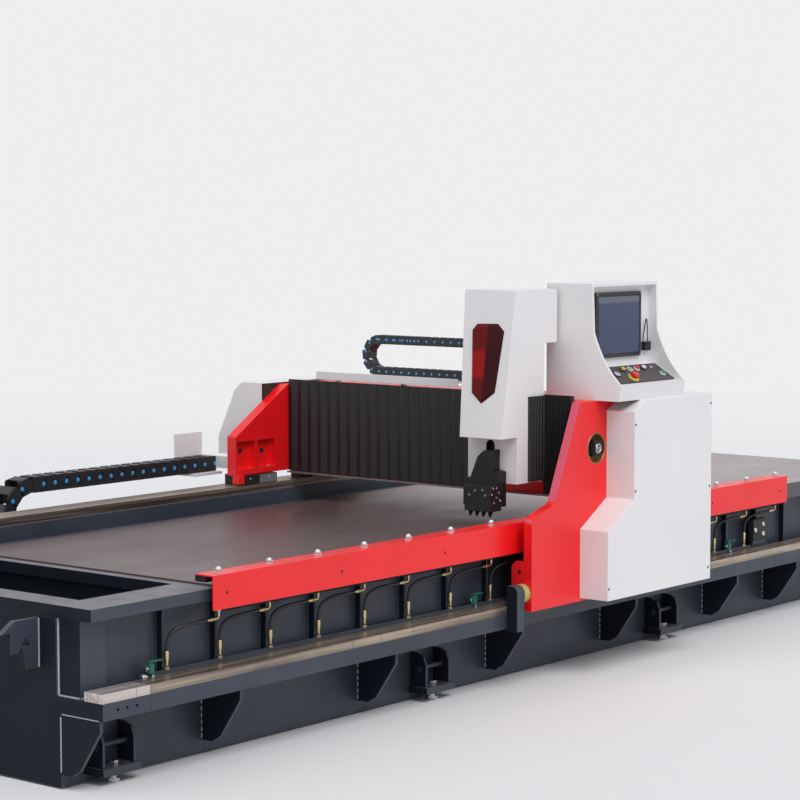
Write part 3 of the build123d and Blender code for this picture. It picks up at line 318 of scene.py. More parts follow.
class Look(Tree):
    """A procedural material, kept in looks under its name."""

    def __init__(self, name):
        material = bpy.data.materials.new(name)
        material.use_nodes = True
        super().__init__(material.node_tree)
        looks[name] = material
        self.shader = self.tree.nodes["Principled BSDF"]
        self.place = self.node("ShaderNodeTexCoord", {}).outputs["Object"]

    def noise(self, scale, detail=4, stretch=(1, 1, 1)):
        mapping = self.node("ShaderNodeMapping", {"Vector": self.place, "Scale": stretch})
        values = {"Scale": scale, "Detail": detail, "Roughness": 0.55}
        values["Vector"] = mapping.outputs["Vector"]
        return self.node("ShaderNodeTexNoise", values).outputs["Fac"]

    def along(self, axis):
        return self.node("ShaderNodeSeparateXYZ", {"Vector": self.place}).outputs[axis]

    def facing(self, direction, low, high):
        # Nought to one as a face turns towards a direction
        surface = self.node("ShaderNodeNewGeometry", {}).outputs["Normal"]
        turned = self.node("ShaderNodeVectorMath", {0: surface, 1: direction}, "DOT_PRODUCT")
        return self.ramp(turned.outputs["Value"], low, high)

    def blend(self, share, first, second):
        mixer = self.node("ShaderNodeMix", {})
        mixer.data_type = "RGBA"
        colours = [n for n, socket in enumerate(mixer.inputs) if socket.type == "RGBA"]
        self.fill(mixer, {"Factor": share, colours[0]: first, colours[1]: second})
        return [socket for socket in mixer.outputs if socket.type == "RGBA"][0]

    def graded(self, value, low, high, first, second):
        # From the first colour to the second as value goes from low to high
        return self.blend(self.ramp(value, low, high), first, second)

    def mottled(self, value, low, high, colour, vary):
        return self.graded(value, low, high, shade(colour, 1 - vary), shade(colour, 1 + vary))

    def bump(self, height, distance):
        raised = self.node("ShaderNodeBump", {"Height": height, "Distance": distance, "Strength": 1.0})
        self.fill(self.shader, {"Normal": raised.outputs["Normal"]})


def paint(
    name, colour, roughness, vary, grain=260, depth=0.00012, dust=None, coat=0.0, shaded=None,
    lit_edge=None,
):
    # Sprayed paint: slow changes of tone, a fine peel, and dust where a face looks up. Faces that
    # look along the bed to the left can take a painted shade, darker and with less gloss, and a
    # slanted front edge can take a painted highlight
    look = Look(name)
    tone = look.mottled(look.noise(2.2, 5), 0.35, 0.65, colour, vary)
    if shaded is not None:
        # Painted shade: faces that look left along the bed get a darker tone and less gloss
        leftward = look.facing(left, 0.5, 0.9)
        tone = look.blend(leftward, tone, shade(colour, shaded))
        look.fill(look.shader, {"Specular IOR Level": look.ramp(leftward, 0.0, 1.0, 0.5, 0.1)})
    if lit_edge is not None:
        # Painted highlight: a lighter colour on faces turned up and to the left, at the slanted edge
        tone = look.blend(look.facing((-0.915, 0, 0.403), 0.97, 0.985), tone, lit_edge)
    if dust is not None:
        patches = look.ramp(look.noise(7, 6, (1, 2.2, 1)), 0.3, 0.75, 0.25, 0.9)
        tone = look.blend(look.product(look.facing(up, 0.5, 1.0), patches), tone, dust)
    scuff = look.ramp(look.noise(11, 6), 0.3, 0.7, roughness - 0.05, roughness + 0.1)
    look.fill(look.shader, {"Base Color": tone, "Roughness": scuff})
    look.fill(look.shader, {"Coat Weight": coat, "Coat Roughness": 0.15})
    look.bump(look.noise(grain, 3), depth)


def metal(name, colour, roughness, scale=60, metallic=1.0):
    # Bare metal with fine marks
    look = Look(name)
    marks = look.noise(scale, 6)
    tone = look.mottled(marks, 0.3, 0.7, colour, 0.12)
    worn = look.ramp(marks, 0.3, 0.7, roughness - 0.08, roughness + 0.1)
    look.fill(look.shader, {"Base Color": tone, "Roughness": worn, "Metallic": metallic})
    look.bump(marks, 0.00004)


def plastic(name, colour, roughness):
    look = Look(name)
    fine = look.noise(500, 3)
    tone = look.mottled(look.noise(9, 4), 0.3, 0.7, colour, 0.08)
    dull = look.ramp(fine, 0.3, 0.7, roughness - 0.05, roughness + 0.07)
    look.fill(look.shader, {"Base Color": tone, "Roughness": dull})
    look.bump(fine, 0.00006)


def lens(name, colour, roughness):
    look = Look(name)
    smudge = look.noise(9, 5)
    tone = look.mottled(smudge, 0.3, 0.7, colour, 0.15)
    dull = look.ramp(smudge, 0.4, 0.8, roughness, roughness + 0.08)
    look.fill(look.shader, {"Base Color": tone, "Roughness": dull})
    look.fill(look.shader, {"Coat Weight": 0.6, "Coat Roughness": 0.04})


def table_steel(name):
    # The table's plate: ground steel with patchy gloss and a painted reflection, browner and darker
    # left of the gantry and pale right of it, and painted on its near edge
    look = Look(name)
    stains_and_reflection_wobble = look.noise(1.6, 6, (1, 1.6, 1))
    wander = look.node("ShaderNodeMath", {0: stains_and_reflection_wobble, 1: 0.5, 2: look.along("X")}, "MULTIPLY_ADD")
    # Painted reflection: dark and brown left of the gantry, pale grey right of it, along an edge that the
    # stain noise wobbles
    gantry_x = at(3050, 0, 0).x
    painted_dark_reflection = (0.118, 0.076, 0.078)
    painted_bright_reflection = (0.40, 0.345, 0.352)
    tone = look.graded(wander.outputs["Value"], gantry_x, gantry_x + 0.9, painted_dark_reflection, painted_bright_reflection)
    marks = look.noise(30, 6, (0.15, 6, 1))
    tone = look.blend(look.ramp(marks, 0.25, 0.8, 0.0, 0.35), tone, (0.07, 0.055, 0.06))
    tone = look.blend(look.facing(near, 0.4, 0.7), tone, (0.085, 0.088, 0.105))
    worn = look.ramp(stains_and_reflection_wobble, 0.3, 0.7, 0.34, 0.5)
    look.fill(look.shader, {"Base Color": tone, "Roughness": worn, "Metallic": 0.35})
    look.bump(marks, 0.00005)


def rail_steel(name):
    # Ground rails with oily brown and grey strips along their length, clean and pale at their
    # left end
    look = Look(name)
    strips = look.noise(28, 4, (0.02, 3.0, 1))
    smears = look.noise(5, 6, (0.6, 2, 1))
    tone = look.graded(strips, 0.38, 0.62, (0.085, 0.062, 0.050), (0.52, 0.42, 0.33))
    tone = look.blend(look.ramp(smears, 0.45, 0.75, 0.0, 0.6), tone, (0.05, 0.045, 0.05))
    pale = look.graded(strips, 0.38, 0.62, (0.40, 0.34, 0.32), (0.74, 0.66, 0.62))
    clean_end = at(ledge_joint, 0, 0).x
    tone = look.graded(look.along("X"), clean_end - 0.004, clean_end + 0.004, pale, tone)
    worn = look.ramp(smears, 0.3, 0.7, 0.25, 0.45)
    look.fill(look.shader, {"Base Color": tone, "Roughness": worn, "Metallic": 0.6})
    look.bump(strips, 0.00004)


def cloth(name, colour):
    # Coated cloth of the bellows: a faint weave under a dull coat
    look = Look(name)
    weave = look.node("ShaderNodeTexWave", {"Scale": 220, "Distortion": 0.6, "Vector": look.place})
    slow = look.noise(14, 5, (1, 1, 0.3))
    tone = look.graded(slow, 0.3, 0.7, shade(colour, 0.75), shade(colour, 1.35))
    dull = look.ramp(slow, 0.3, 0.7, 0.42, 0.62)
    look.fill(look.shader, {"Base Color": tone, "Roughness": dull})
    look.bump(weave.outputs["Fac"], 0.00008)


def window_pane(name):
    # The head's tinted window: dark wine red, brighter where light comes through its far third
    look = Look(name)
    tone = look.graded(look.noise(7, 3), 0.3, 0.7, (0.036, 0.0025, 0.004), (0.050, 0.0045, 0.006))
    height = look.along("Z")
    low_part = look.ramp(height, 1.42, 1.45, 1.0, 0.0)
    bright = look.product(low_part, look.ramp(height, 1.31, 1.33))
    red = look.blend(bright, (0.14, 0.004, 0.006), (0.32, 0.006, 0.010))
    third = at(0, 46, 0).y
    tone = look.graded(look.along("Y"), third - 0.002, third + 0.002, tone, red)
    look.fill(look.shader, {"Base Color": tone, "Roughness": 0.12, "Specular IOR Level": 0.12})


def screen_face(name):
    # The display's glass: dark blue-grey, paler in a band along its top
    look = Look(name)
    tone = look.graded(look.noise(6, 4), 0.3, 0.7, (0.050, 0.066, 0.130), (0.064, 0.082, 0.150))
    tone = look.graded(look.along("Z"), 1.628, 1.640, tone, (0.135, 0.150, 0.190))
    look.fill(look.shader, {"Base Color": tone, "Roughness": 0.16, "Specular IOR Level": 0.2})


slate = (0.034, 0.044, 0.064)
red = (0.88, 0.008, 0.011)
near_black = (0.012, 0.012, 0.014)
# The bed's paint takes a painted shade on faces that look left
paint("bed_paint", slate, 0.42, 0.16, dust=(0.105, 0.098, 0.108), shaded=0.34)
paint("red_paint", red, 0.34, 0.05, coat=0.1)
paint("white_paint", (0.80, 0.79, 0.80), 0.45, 0.025, grain=420, depth=0.0001)
paint("grey_paint", (0.16, 0.17, 0.19), 0.45, 0.1)
paint("valve_green", (0.02, 0.16, 0.10), 0.35, 0.1)
table_steel("ground_steel")
metal("dark_steel", (0.024, 0.021, 0.023), 0.45, metallic=0.5)
metal("bright_steel", (0.62, 0.62, 0.64), 0.22)
metal("brass", (0.62, 0.47, 0.26), 0.28)
plastic("hose_rubber", near_black, 0.42)
plastic("buffer_yellow", (0.42, 0.40, 0.13), 0.5)
plastic("chain_plastic", (0.016, 0.017, 0.021), 0.42)
cloth("bellows_cloth", (0.008, 0.007, 0.009))
window_pane("window_tint")
plastic("screen_black", (0.008, 0.008, 0.010), 0.3)
plastic("panel_black", (0.055, 0.048, 0.052), 0.5)
plastic("cap_yellow", (0.72, 0.52, 0.06), 0.3)
plastic("cap_red", (0.70, 0.02, 0.02), 0.28)
plastic("cap_white", (0.78, 0.78, 0.76), 0.3)
plastic("cap_green", (0.02, 0.32, 0.12), 0.3)

# Looks of single nodes and pieces, beside those of the material slots
rail_steel("rail_steel")
# The rim's paint takes the same painted shade on faces that look left
paint("rim_paint", slate, 0.36, 0.14, dust=(0.150, 0.130, 0.150), shaded=0.34)
# The leg's paint carries a pink painted highlight on its slanted front edge
paint("leg_paint", red, 0.34, 0.05, coat=0.1, lit_edge=(0.66, 0.075, 0.135))
plastic("link_blue", (0.05, 0.34, 0.70), 0.35)
screen_face("display")
metal("weld_bead", (0.40, 0.41, 0.45), 0.42, scale=300, metallic=0.5)
metal("bronze", (0.34, 0.22, 0.10), 0.38, metallic=0.7)
# Near-black for dark joints and seams, and for painted shade in holes, pockets and the head's slot
plastic("dark_hole", (0.006, 0.006, 0.007), 0.7)
paint("black_cast", (0.016, 0.015, 0.017), 0.5, 0.15)
lens("lamp_teal", (0.03, 0.16, 0.13), 0.12)
lens("lamp_pale", (0.50, 0.49, 0.58), 0.14)
plastic("collar_black", near_black, 0.35)

own_looks = {"x_rails": "rail_steel", "rim_frame": "rim_paint", "near_leg": "leg_paint"}
for row in record["subparts"]:
    materials = nodes[row["node"]].data.materials
    materials.clear()
    materials.append(looks[own_looks.get(row["node"], row["material_slot"])])

# A small rounding of the plates' edges, in millimetres, so that they catch the light as real
# edges do
soft_edges = {
    "near_wall": 1.5, "ledge": 2.5, "upper_wall": 2, "end_walls": 3, "far_side": 3, "rim_frame": 2.5,
    "table_plate": 2, "foot_brackets": 2, "travel_stop": 3, "near_leg": 3, "far_leg": 3,
    "crossbeam": 3, "guide_blocks": 2, "cabinet_cover": 2, "far_cover": 2, "console_housing": 2,
    "head_carriage": 2, "tool_slide": 2.5, "tool_holder": 2, "clamp_guard": 1.5,
    "chain_tray": 1, "chain_trough": 1, "x_drive": 2, "screen": 2,
}
for name, width in soft_edges.items():
    joined = nodes[name].modifiers.new("join", "WELD")
    joined.merge_threshold = 0.00002
    rounded = nodes[name].modifiers.new("edges", "BEVEL")
    rounded.width = width / 1000
    rounded.segments = 2
    rounded.limit_method = "ANGLE"
    rounded.angle_limit = radians(30)
    rounded.harden_normals = True

# Energy chains: separate links with side plates, cross bars and coloured pins. Each run is two
# sets of links, one on each of the bodies it joins, that slide inside one another as the half
# turn moves, so the run keeps its ends at every pose. The inner set is slimmer by a hair.
slim = 0.985
plate_thick = 5.0
upright = Matrix.Identity(4)
quarter = Matrix.Rotation(pi / 2, 4, "Z")


def turned(place, direction):
    return (place @ Vector(direction)) - (place @ Vector((0, 0, 0)))


def chain_link(dark, pins, place, pitch, width, height):
    # One link about place, a matrix whose x runs along the chain and z across its height
    half = width / 2
    outline = []
    for n in range(7):
        a = -pi / 2 + pi * n / 6
        outline.append((pitch / 2 - 4 + height * 0.16 * cos(a), (height / 2 - 1) * sin(a)))
    outline += [(-pitch / 2 + 7, height / 2 - 4), (-pitch / 2 + 1, height / 4)]
    outline += [(-pitch / 2 + 1, -height / 4), (-pitch / 2 + 7, 4 - height / 2)]
    along = turned(place, right)
    for side in (-1, 1):
        y0 = side * (half - plate_thick) if side > 0 else -half
        start = place @ Vector((0, y0 + plate_thick, 0))
        dark.prism(outline, start, along, turned(place, up), plate_thick, 0.8)
        face = place @ Vector((pitch / 2 - 6, side * half, 0))
        outward = turned(place, (0, side, 0))
        pins.dome(face - outward * 0.2, outward, height * 0.14, 1.8, 14)
    inside = half - plate_thick
    corners = [(-pitch * 0.34, -half + plate_thick), (pitch * 0.30, -half + plate_thick)]
    corners += [(pitch * 0.30, inside), (-pitch * 0.34, inside)]
    for z in (-height / 2 + 3, height / 2 - 3):
        dark.prism(corners, place @ Vector((0, 0, z - 2)), along, turned(place, far), 4, 0.8)


def chain_set(name, body, places, pitch, width, height, replaces=()):
    dark = Piece(name, body, "chain_plastic")
    pins = Piece(name + "_pins", body, "chain_plastic", "link_blue")
    for place in places:
        chain_link(dark, pins, place, pitch, width, height)
    return dark.make(replaces), pins.make()


def link_place(s, line, z, axis):
    # A link's place at s along the chain's axis
    if axis == "x":
        return Matrix.Translation(Vector((s, line, z))) @ upright
    return Matrix.Translation(Vector((line, s, z))) @ quarter


def run_places(start, end, pitch, line, level, axis):
    # Links from start to end along x or y at one level
    count = max(1, round(abs(end - start) / pitch))
    step = (end - start) / count
    return [link_place(start + (n + 0.5) * step, line, level, axis) for n in range(count)]


def bend_places(centre, levels, line, links, axis, side):
    # Links round the half turn, from the lower run up to the upper one
    middle = (levels[0] + levels[1]) / 2
    radius = (levels[1] - levels[0]) / 2
    places = []
    for n in range(links):
        a = pi * (n + 0.5) / links
        place = link_place(centre + side * radius * sin(a), line, middle - radius * cos(a), axis)
        places.append(place @ Matrix.Rotation(-side * a, 4, "Y"))
    return places


lower_low, lower_high = stations("x_chain_lower")
upper_low, upper_high = stations("x_chain_upper")
x_line = (lower_low.y + lower_high.y) / 2
x_width = lower_high.y - lower_low.y
x_height = lower_high.z - lower_low.z
x_levels = ((lower_low.z + lower_high.z) / 2, (upper_low.z + upper_high.z) / 2)
x_bend = lower_low.x
x_half_travel = 750
x_pitch = 70.7
x_reach = lower_high.x - x_bend - x_half_travel
upper_end = upper_high.x
for name, body, start, end, level, share, replaced in (
    ("fixed_run", "bed", x_bend + x_half_travel, lower_high.x, 0, 1, ("x_chain_lower",)),
    ("moving_low_run", "x_chain_turn", x_bend, x_bend + x_reach, 0, slim, ()),
    ("gantry_run", "gantry", upper_low.x, upper_end, 1, 1, ("x_chain_upper",)),
    ("moving_top_run", "x_chain_turn", upper_low.x, upper_end, 1, slim, ()),
):
    places = run_places(start, end, x_pitch, x_line, x_levels[level], "x")
    chain_set("x_chain_" + name, body, places, x_pitch, x_width * share, x_height * share, replaced)
places = bend_places(x_bend, x_levels, x_line, 6, "x", -1)
chain_set("x_chain_half_turn", "x_chain_turn", places, x_pitch, x_width, x_height, ("x_chain_bend",))

lower_low, lower_high = stations("y_chain_lower")
upper_low, upper_high = stations("y_chain_upper")
y_line = (lower_low.x + lower_high.x) / 2
y_width = lower_high.x - lower_low.x
y_height = lower_high.z - lower_low.z
y_levels = ((lower_low.z + lower_high.z) / 2, (upper_low.z + upper_high.z) / 2)
y_bend = lower_high.y
y_pitch = 46
y_half_travel = 500
y_short = upper_high.y - upper_low.y - y_half_travel
for name, body, start, end, level, share, replaced in (
    ("beam_run", "gantry", lower_low.y, y_bend, 0, 1, ("y_chain_lower",)),
    ("moving_low_run", "y_chain_turn", lower_low.y, y_bend, 0, slim, ()),
    ("head_run", "head", upper_low.y, upper_low.y + y_short, 1, 1, ("y_chain_upper",)),
    ("moving_top_run", "y_chain_turn", y_bend - y_short, y_bend, 1, slim, ()),
):
    places = run_places(start, end, y_pitch, y_line, y_levels[level], "y")
    chain_set("y_chain_" + name, body, places, y_pitch, y_width * share, y_height * share, replaced)
places = bend_places(y_bend, y_levels, y_line, 5, "y", 1)
chain_set("y_chain_half_turn", "y_chain_turn", places, y_pitch, y_width, y_height, ("y_chain_bend",))

# Between the head's run and the moving one a third set shortens as the head goes over
places = run_places(upper_low.y, y_bend, y_pitch, y_line, y_levels[1], "y")
inner = (y_width * slim * slim, y_height * slim * slim)
for middle in chain_set("y_chain_middle_run", "head", places, y_pitch, *inner):
    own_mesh(middle)

# Bellows: pleated cloth, fixed to the beam's ends and to the carriage
pleat_counts = {"left": 20, "right": 12}


def pleated(name, start, end, count, front, back, low, high):
    piece = Piece(name, "gantry", "bellows_cloth")
    step = (end - start) / count
    root = front + (back - front) * 0.62
    wall = front + (back - front) * 0.55
    crest = front + 1.2
    fold = ((0.10, wall), (0.40, crest), (0.50, front), (0.60, crest), (0.90, wall))
    outline = []
    for n in range(count):
        s = start + n * step
        outline.append((root, s))
        outline += [(x, s + step * share) for share, x in fold]
    outline += [(root, end), (back, end), (back, start)]
    piece.prism(outline, (0, 0, low), right, far, high - low)
    return piece.make((name.replace("pleats", "bellows"),), smooth=20)


for side, count in pleat_counts.items():
    low, high = stations("bellows_" + side)
    made = pleated("pleats_" + side, low.y, high.y, count, low.x, high.x, low.z, high.z)
    if side == "left":
        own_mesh(made)
    else:
        made.parent = None
        del made["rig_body"]
        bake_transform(made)

# Hydraulic line: round cylinders, brass elbows, hoses and their fittings
cyl_low, cyl_high = stations("clamp_cylinders")
pipe_low, pipe_high = stations("manifold")
clamp_pitch = 281
clamp_stations = [668 + clamp_pitch * n for n in range(8)] + [4741 - clamp_pitch * n for n in range(7)]
rod_y = (cyl_low.y + cyl_high.y) / 2
elbow_z = 539
elbow_radius = 14
elbow_reach = 62
fitting_x = 238
fitting_y = -102
fitting_top = 449
hose_radius = 6.5
hose_turns = ((0.56, 0, 0), (0.86, 0.5, 0.14), (1, 1, 0.48))
cylinder_profile = [(0, 12), (2, 14.5), (8, 14.5), (8, 16), (cyl_high.z - cyl_low.z, 16)]
fitting_profile = [(0, 6), (22, 6), (22, 8), (52, 8), (54, 7)]


def curved(points, steps=8):
    # A smooth line over a few route points: one parabola at each inner point
    points = [Vector(p) for p in points]
    line = [points[0]]
    for n in range(1, len(points) - 1):
        before = points[0] if n == 1 else (points[n - 1] + points[n]) / 2
        after = points[-1] if n == len(points) - 2 else (points[n] + points[n + 1]) / 2
        for k in range(1, steps + 1):
            t = k / steps
            line.append(before * (1 - t) ** 2 + points[n] * 2 * t * (1 - t) + after * t ** 2)
    return line


cylinders = Piece("cylinders", "bed", "grey_paint")
brass = Piece("hose_fittings", "bed", "brass")
hoses = Piece("pressure_hoses", "bed", "hose_rubber")
for x in clamp_stations:
    cylinders.lathe((x, rod_y, cyl_low.z), up, cylinder_profile)
    brass.hexagon((x, rod_y, cyl_low.z), down, 8.5, 9)
    bend = [(x, rod_y, cyl_low.z - 8)]
    for n in range(7):
        a = pi / 2 * n / 6
        bend_x = x - elbow_radius * (1 - cos(a))
        bend.append((bend_x, rod_y, elbow_z + elbow_radius - elbow_radius * sin(a)))
    bend.append((x - 30, rod_y, elbow_z))
    brass.tube(bend, 5)
    brass.disc((x - 28, rod_y, elbow_z), left, 7, 34)
    brass.hexagon((x - 34, rod_y, elbow_z), left, 8.5, 8)
    brass.hexagon((x - fitting_x, fitting_y, pipe_low.z + 20), up, 9, 12)
    brass.lathe((x - fitting_x, fitting_y, fitting_top - 56), up, fitting_profile)
    start = Vector((x - elbow_reach, rod_y, elbow_z))
    end = Vector((x - fitting_x, fitting_y, fitting_top))
    shift = end - start
    route = [start + Vector((4, 0, 0))]
    for run, swing, fall in hose_turns:
        route.append(start + Vector((shift.x * run, shift.y * swing, shift.z * fall)))
    route.append(end - Vector((0, 0, 4)))
    hoses.tube(curved(route), hose_radius)
cylinders.make(("clamp_cylinders",))
brass.make(("brass_fittings",))
hoses.make(("clamp_hoses",))

# Pressure line with its shut-off valves and its valve block
valve_stations = (340, 2272, 4345)
valve_half = 13
valve_top = 414
valve_block_x = (4560, 4690)
valve_block_z = (398, 505)
block_face = -122
ring_bolts = ((4580, 452), (4655, 476), (4655, 428))
pipe_top = 379
line_y = (pipe_low.y + 4, pipe_high.y)
inlet_profile = [(0, 10), (10, 10), (10, 13), (22, 13), (26, 9)]
pipe = Piece("pressure_line", "bed", "bed_paint")
pipe.box((pipe_low.x, pipe_high.x), line_y, (pipe_low.z, pipe_top), 9)
pipe.box(valve_block_x, line_y, (pipe_top - 2, valve_block_z[0] + 1), 2)
pipe.make(("manifold",))
block = Piece("valve_block", "bed", "dark_steel", "black_cast")
block.box(valve_block_x, (block_face, pipe_high.y), valve_block_z, 3)
block.make()
valves = Piece("valve_bodies", "bed", "valve_green")
plugs = Piece("line_plugs", "bed", "bright_steel")
for x in valve_stations:
    body_y = (line_y[0], line_y[0] + 2 * valve_half)
    valves.box((x - valve_half, x + valve_half), body_y, (pipe_top - 1, valve_top), 2.5)
    plugs.hexagon((x, line_y[0] + 0.5, 371), near, 7.5, 6)
    plugs.disc((x - valve_half + 1, line_y[0] + valve_half, 397), left, 9, 11)
plugs.lathe((pipe_low.x + 2, -104, 368), left, inlet_profile)
for x, z in ring_bolts:
    plugs.collar((x, block_face, z), near, 12, 5.5, 4, 1.2)
    plugs.disc((x, block_face + 1, z), near, 5, 2.2)
valves.make()
plugs.make()

# Side clamp: domed nuts on its guard, and the guard's row of small holes, drawn as dark discs of painted
# shade
guard_low, guard_high = stations("clamp_guard")
guard_hole_stations = (658, 1312, 1967, 2622, 3395, 4058, 4705)
guard_hole_z = 642
nuts = Piece("clamp_nut_caps", "side_clamp", "bright_steel")
for x in clamp_stations:
    nuts.disc((x, rod_y, guard_high.z), up, 17, 2.4)
    nuts.hexagon((x, rod_y, guard_high.z + 2), up, 14, 10.5)
    nuts.dome((x, rod_y, guard_high.z + 12), up, 11.5, 11)
nuts.make()
guard_holes = Piece("guard_holes", "side_clamp", "dark_steel", "dark_hole")
for x in guard_hole_stations:
    guard_holes.disc((x, guard_low.y - 0.2, guard_hole_z), far, 6, 2)
guard_holes.make()

# Rails: fine joints, and small screw heads along the near rail's inner side
rail_low = stations("x_rails")[0]
rail_inner = -122
ledge_top = rail_low.z
rail_top = ledge_top + 34
rail_joint_stations = (165, ledge_joint, 1351, 1526, 1727, 3240, 4650)
joint_proud = 0.1
first_screw = 265
screw_pitch = 107.3
screw_line = -106
joints = Piece("rail_joints", "bed", "dark_steel", "dark_hole")
for x in rail_joint_stations:
    joint_y = (rail_low.y - joint_proud, rail_inner + joint_proud)
    joints.box((x - 0.8, x + 0.8), joint_y, (ledge_top, rail_top + joint_proud))
table_seam = ((643, 649.5), (-155, 1270), (660, 660.7))
joints.box(*table_seam)
joints.make()
rail_screws = Piece("rail_screws", "bed", "bright_steel")
for n in range(51):
    x = first_screw + screw_pitch * n
    rail_screws.disc((x, screw_line, ledge_top - 0.5), up, 4.5, 4, 1.2, 12)
rail_screws.make()

# Weld beads: along the gussets, round the left post, and at the sling hooks' feet
gusset_stations = (0, 716.3, 1633.1, 2498.1, 3383.1, 4279.9, 4862.2, 5884)
gusset_thick = 16
gusset_depth = 194
wall_top = 272
bead_rows = range(62, 270, 26)
bead_run = 17
hook_y = (108, 132, 1448, 1472)
hook_low, hook_high = 428, 604
post_foot = ledge_top + 1
post_beads = (
    ((1, -1, 70), (1, -1, 262), 4),
    ((11, 19, post_foot + 1), (11, 19, 612), 5.5),
    ((11, 19, post_foot), (11, -88, post_foot), 5),
    ((14, -91, post_foot), (137, -91, post_foot), 4.5),
    ((140, -63, post_foot), (415, -63, post_foot), 4),
)
beads = Piece("weld_beads", "bed", "bed_paint", "weld_bead")
for x in gusset_stations:
    for side_x in (x, x + gusset_thick):
        for z in bead_rows:
            beads.bead((side_x, -0.5, z), (side_x, -0.5, z + bead_run))
        beads.bead((side_x, -6, wall_top - 0.5), (side_x, -gusset_depth, wall_top - 0.5), 2.4)
for start, end, radius in post_beads:
    beads.bead(start, end, radius)
for x in (0, bed_length):
    for y in hook_y:
        beads.bead((x, y, hook_low), (x, y, hook_high), 4)
beads.make()

# Cross pins between the ears of the foot brackets
foot_stations = (204.7, 2057.9, 3845.0, 5695.3)
ear_outer = 83
pin_y = (-42, 1622)
pin_z = 140
foot_pins = Piece("foot_pins", "bed", "bed_paint")
for x in foot_stations:
    for y in pin_y:
        foot_pins.tube([(x - ear_outer, y, pin_z), (x + ear_outer, y, pin_z)], 11, 16)
        for side in (-1, 1):
            foot_pins.disc((x + side * ear_outer, y, pin_z), (side, 0, 0), 21, 3.5)
            foot_pins.hexagon((x + side * (ear_outer + 3), y, pin_z), (side, 0, 0), 15, 9)
foot_pins.make()

# Near leg: a bronze liner in its bore, the screw's end bearing and a ring on the screw's end
screw_x = 2932
screw_z = 1003
leg_in = -240
cap_face = -290
bore = Piece("bore_liner", "gantry", "brass", "bronze")
bore.collar((screw_x, leg_in, screw_z), near, 69.7, 63, 42.6, 1.5, 48)
bore.collar((screw_x, leg_in - 1, screw_z), near, 64, 20, 3, 0.5, 48)
bore.make()
cap = Piece("screw_end_cap", "gantry", "dark_steel", "black_cast")
cap.box((screw_x - 31, screw_x + 37), (cap_face, leg_in - 3), (screw_z - 36, screw_z + 36), 8)
cap.make()
end_ring = Piece("screw_end_ring", "gantry", "bright_steel")
end_ring.collar((screw_x + 3, cap_face + 0.5, screw_z), near, 22, 13.5, 3.5, 1.2)
end_ring.disc((screw_x + 3, cap_face + 0.5, screw_z), near, 8, 3, 1)
end_ring.make()

# Cabinet cover: dark flat screws
cabinet_face = -430
cover_screw_places = ((3020, 1108), (3020, 815), (2817, 406), (3642, 1165), (3637, 783), (3631, 408))
cover_screws = Piece("cover_screws", "gantry", "dark_steel", "collar_black")
for x, z in cover_screw_places:
    cover_screws.disc((x, cabinet_face + 2, z), near, 6.5, 2.1, 0.4, 20)
cover_screws.make()

# Far leg: a threaded hole in each pocket, bolts in the second, its small foot, and the near face
# of the far guide blocks
pocket_back = 1446
far_foot = stations("far_leg")[0].z + 1
block_near = 1395
# Each threaded hole is a dark disc of painted shade on the pocket's back
holes = Piece("pocket_holes", "gantry", "dark_steel", "dark_hole")
for x, z in ((2496, 916), (2646, 906)):
    holes.disc((x, pocket_back + 1, z), near, 13, 1.8, 0.3)
holes.make()
pocket_bolts = Piece("pocket_bolts", "gantry", "bright_steel")
for x in (2622, 2684):
    pocket_bolts.hexagon((x, 1434, 829.5), up, 8, 7)
foot = Piece("far_leg_foot", "gantry", "red_paint")
foot.box((2441, 2479), (1398, pocket_back), (762, far_foot + 0.5), 3)
foot.make()
block_faces = Piece("block_faces", "gantry", "grey_paint")
for x in (2480, 2950):
    block_faces.box((x + 98, x + 220), (block_near - 0.8, block_near + 0.5), (759, 799), 0.4)
    for shift in (34, 165):
        pocket_bolts.disc((x + shift, block_near - 0.3, 783), near, 4.5, 2, 0.6)
block_faces.make()
pocket_bolts.make()

# Chain bracket: an arm from the far leg, a tray under the chain's end and an upright behind it
bracket_low, bracket_high = stations("chain_bracket")
bracket_arm = 1720
bracket_x = (bracket_low.x, bracket_high.x)
chain_top = x_levels[1] + x_height / 2
chain_low = x_levels[1] - x_height / 2
behind = (x_line + x_width / 2 + 2, x_line + x_width / 2 + 12)
bracket = Piece("bracket_tray", "gantry", "white_paint")
bracket.box((upper_end, bracket_high.x), (bracket_low.y, behind[1]), (far_foot, chain_top), 1)
bracket.box(bracket_x, (bracket_arm, behind[1]), (bracket_low.z, chain_low - 0.5), 1)
bracket.box(bracket_x, behind, (bracket_low.z, bracket_high.z), 1.5)
bracket.make(("chain_bracket",))

# Beam: a grey strip along its lower lip
lip = Piece("beam_strip", "gantry", "grey_paint")
lip.box((2799.2, 2801), (-240, 1420), (789, 797.2), 0.3)
lip.make()

# Head cover: a folded sheet hood with its lower far corner folded in, open below and behind
cover_low, cover_high = stations("head_cover")
front_low_x = cover_low.x
front_top_x = 2604
step_x = (2691, 2816)
step_z = (1246, 1464)
corner_y = 147
sheet = 3
window_corners = ((130, 1522), (106, 1549), (-2, 1551), (-37, 1520), (-19, 1262), (47, 1213), (102, 1257))


def on_front(y, z, out=0.0):
    # A point on the hood's slanted front, out millimetres off it
    rise = Vector((front_top_x - front_low_x, 0, cover_high.z - cover_low.z)).normalized()
    x = front_low_x + rise.x / rise.z * (z - cover_low.z)
    return Vector((x, y, z)) + Vector((-rise.z, 0, rise.x)) * out


def hood_side(y):
    # The hood's side outline at y, from the front's foot round the back
    points = [(front_low_x, cover_low.z), (front_top_x, cover_high.z), (cover_high.x, cover_high.z)]
    points += [(cover_high.x, step_z[1]), (step_x[1], step_z[1]), (step_x[1], step_z[0])]
    points += [(step_x[0], step_z[0]), (step_x[0], cover_low.z)]
    return [Vector((x, y, z)) for x, z in points]


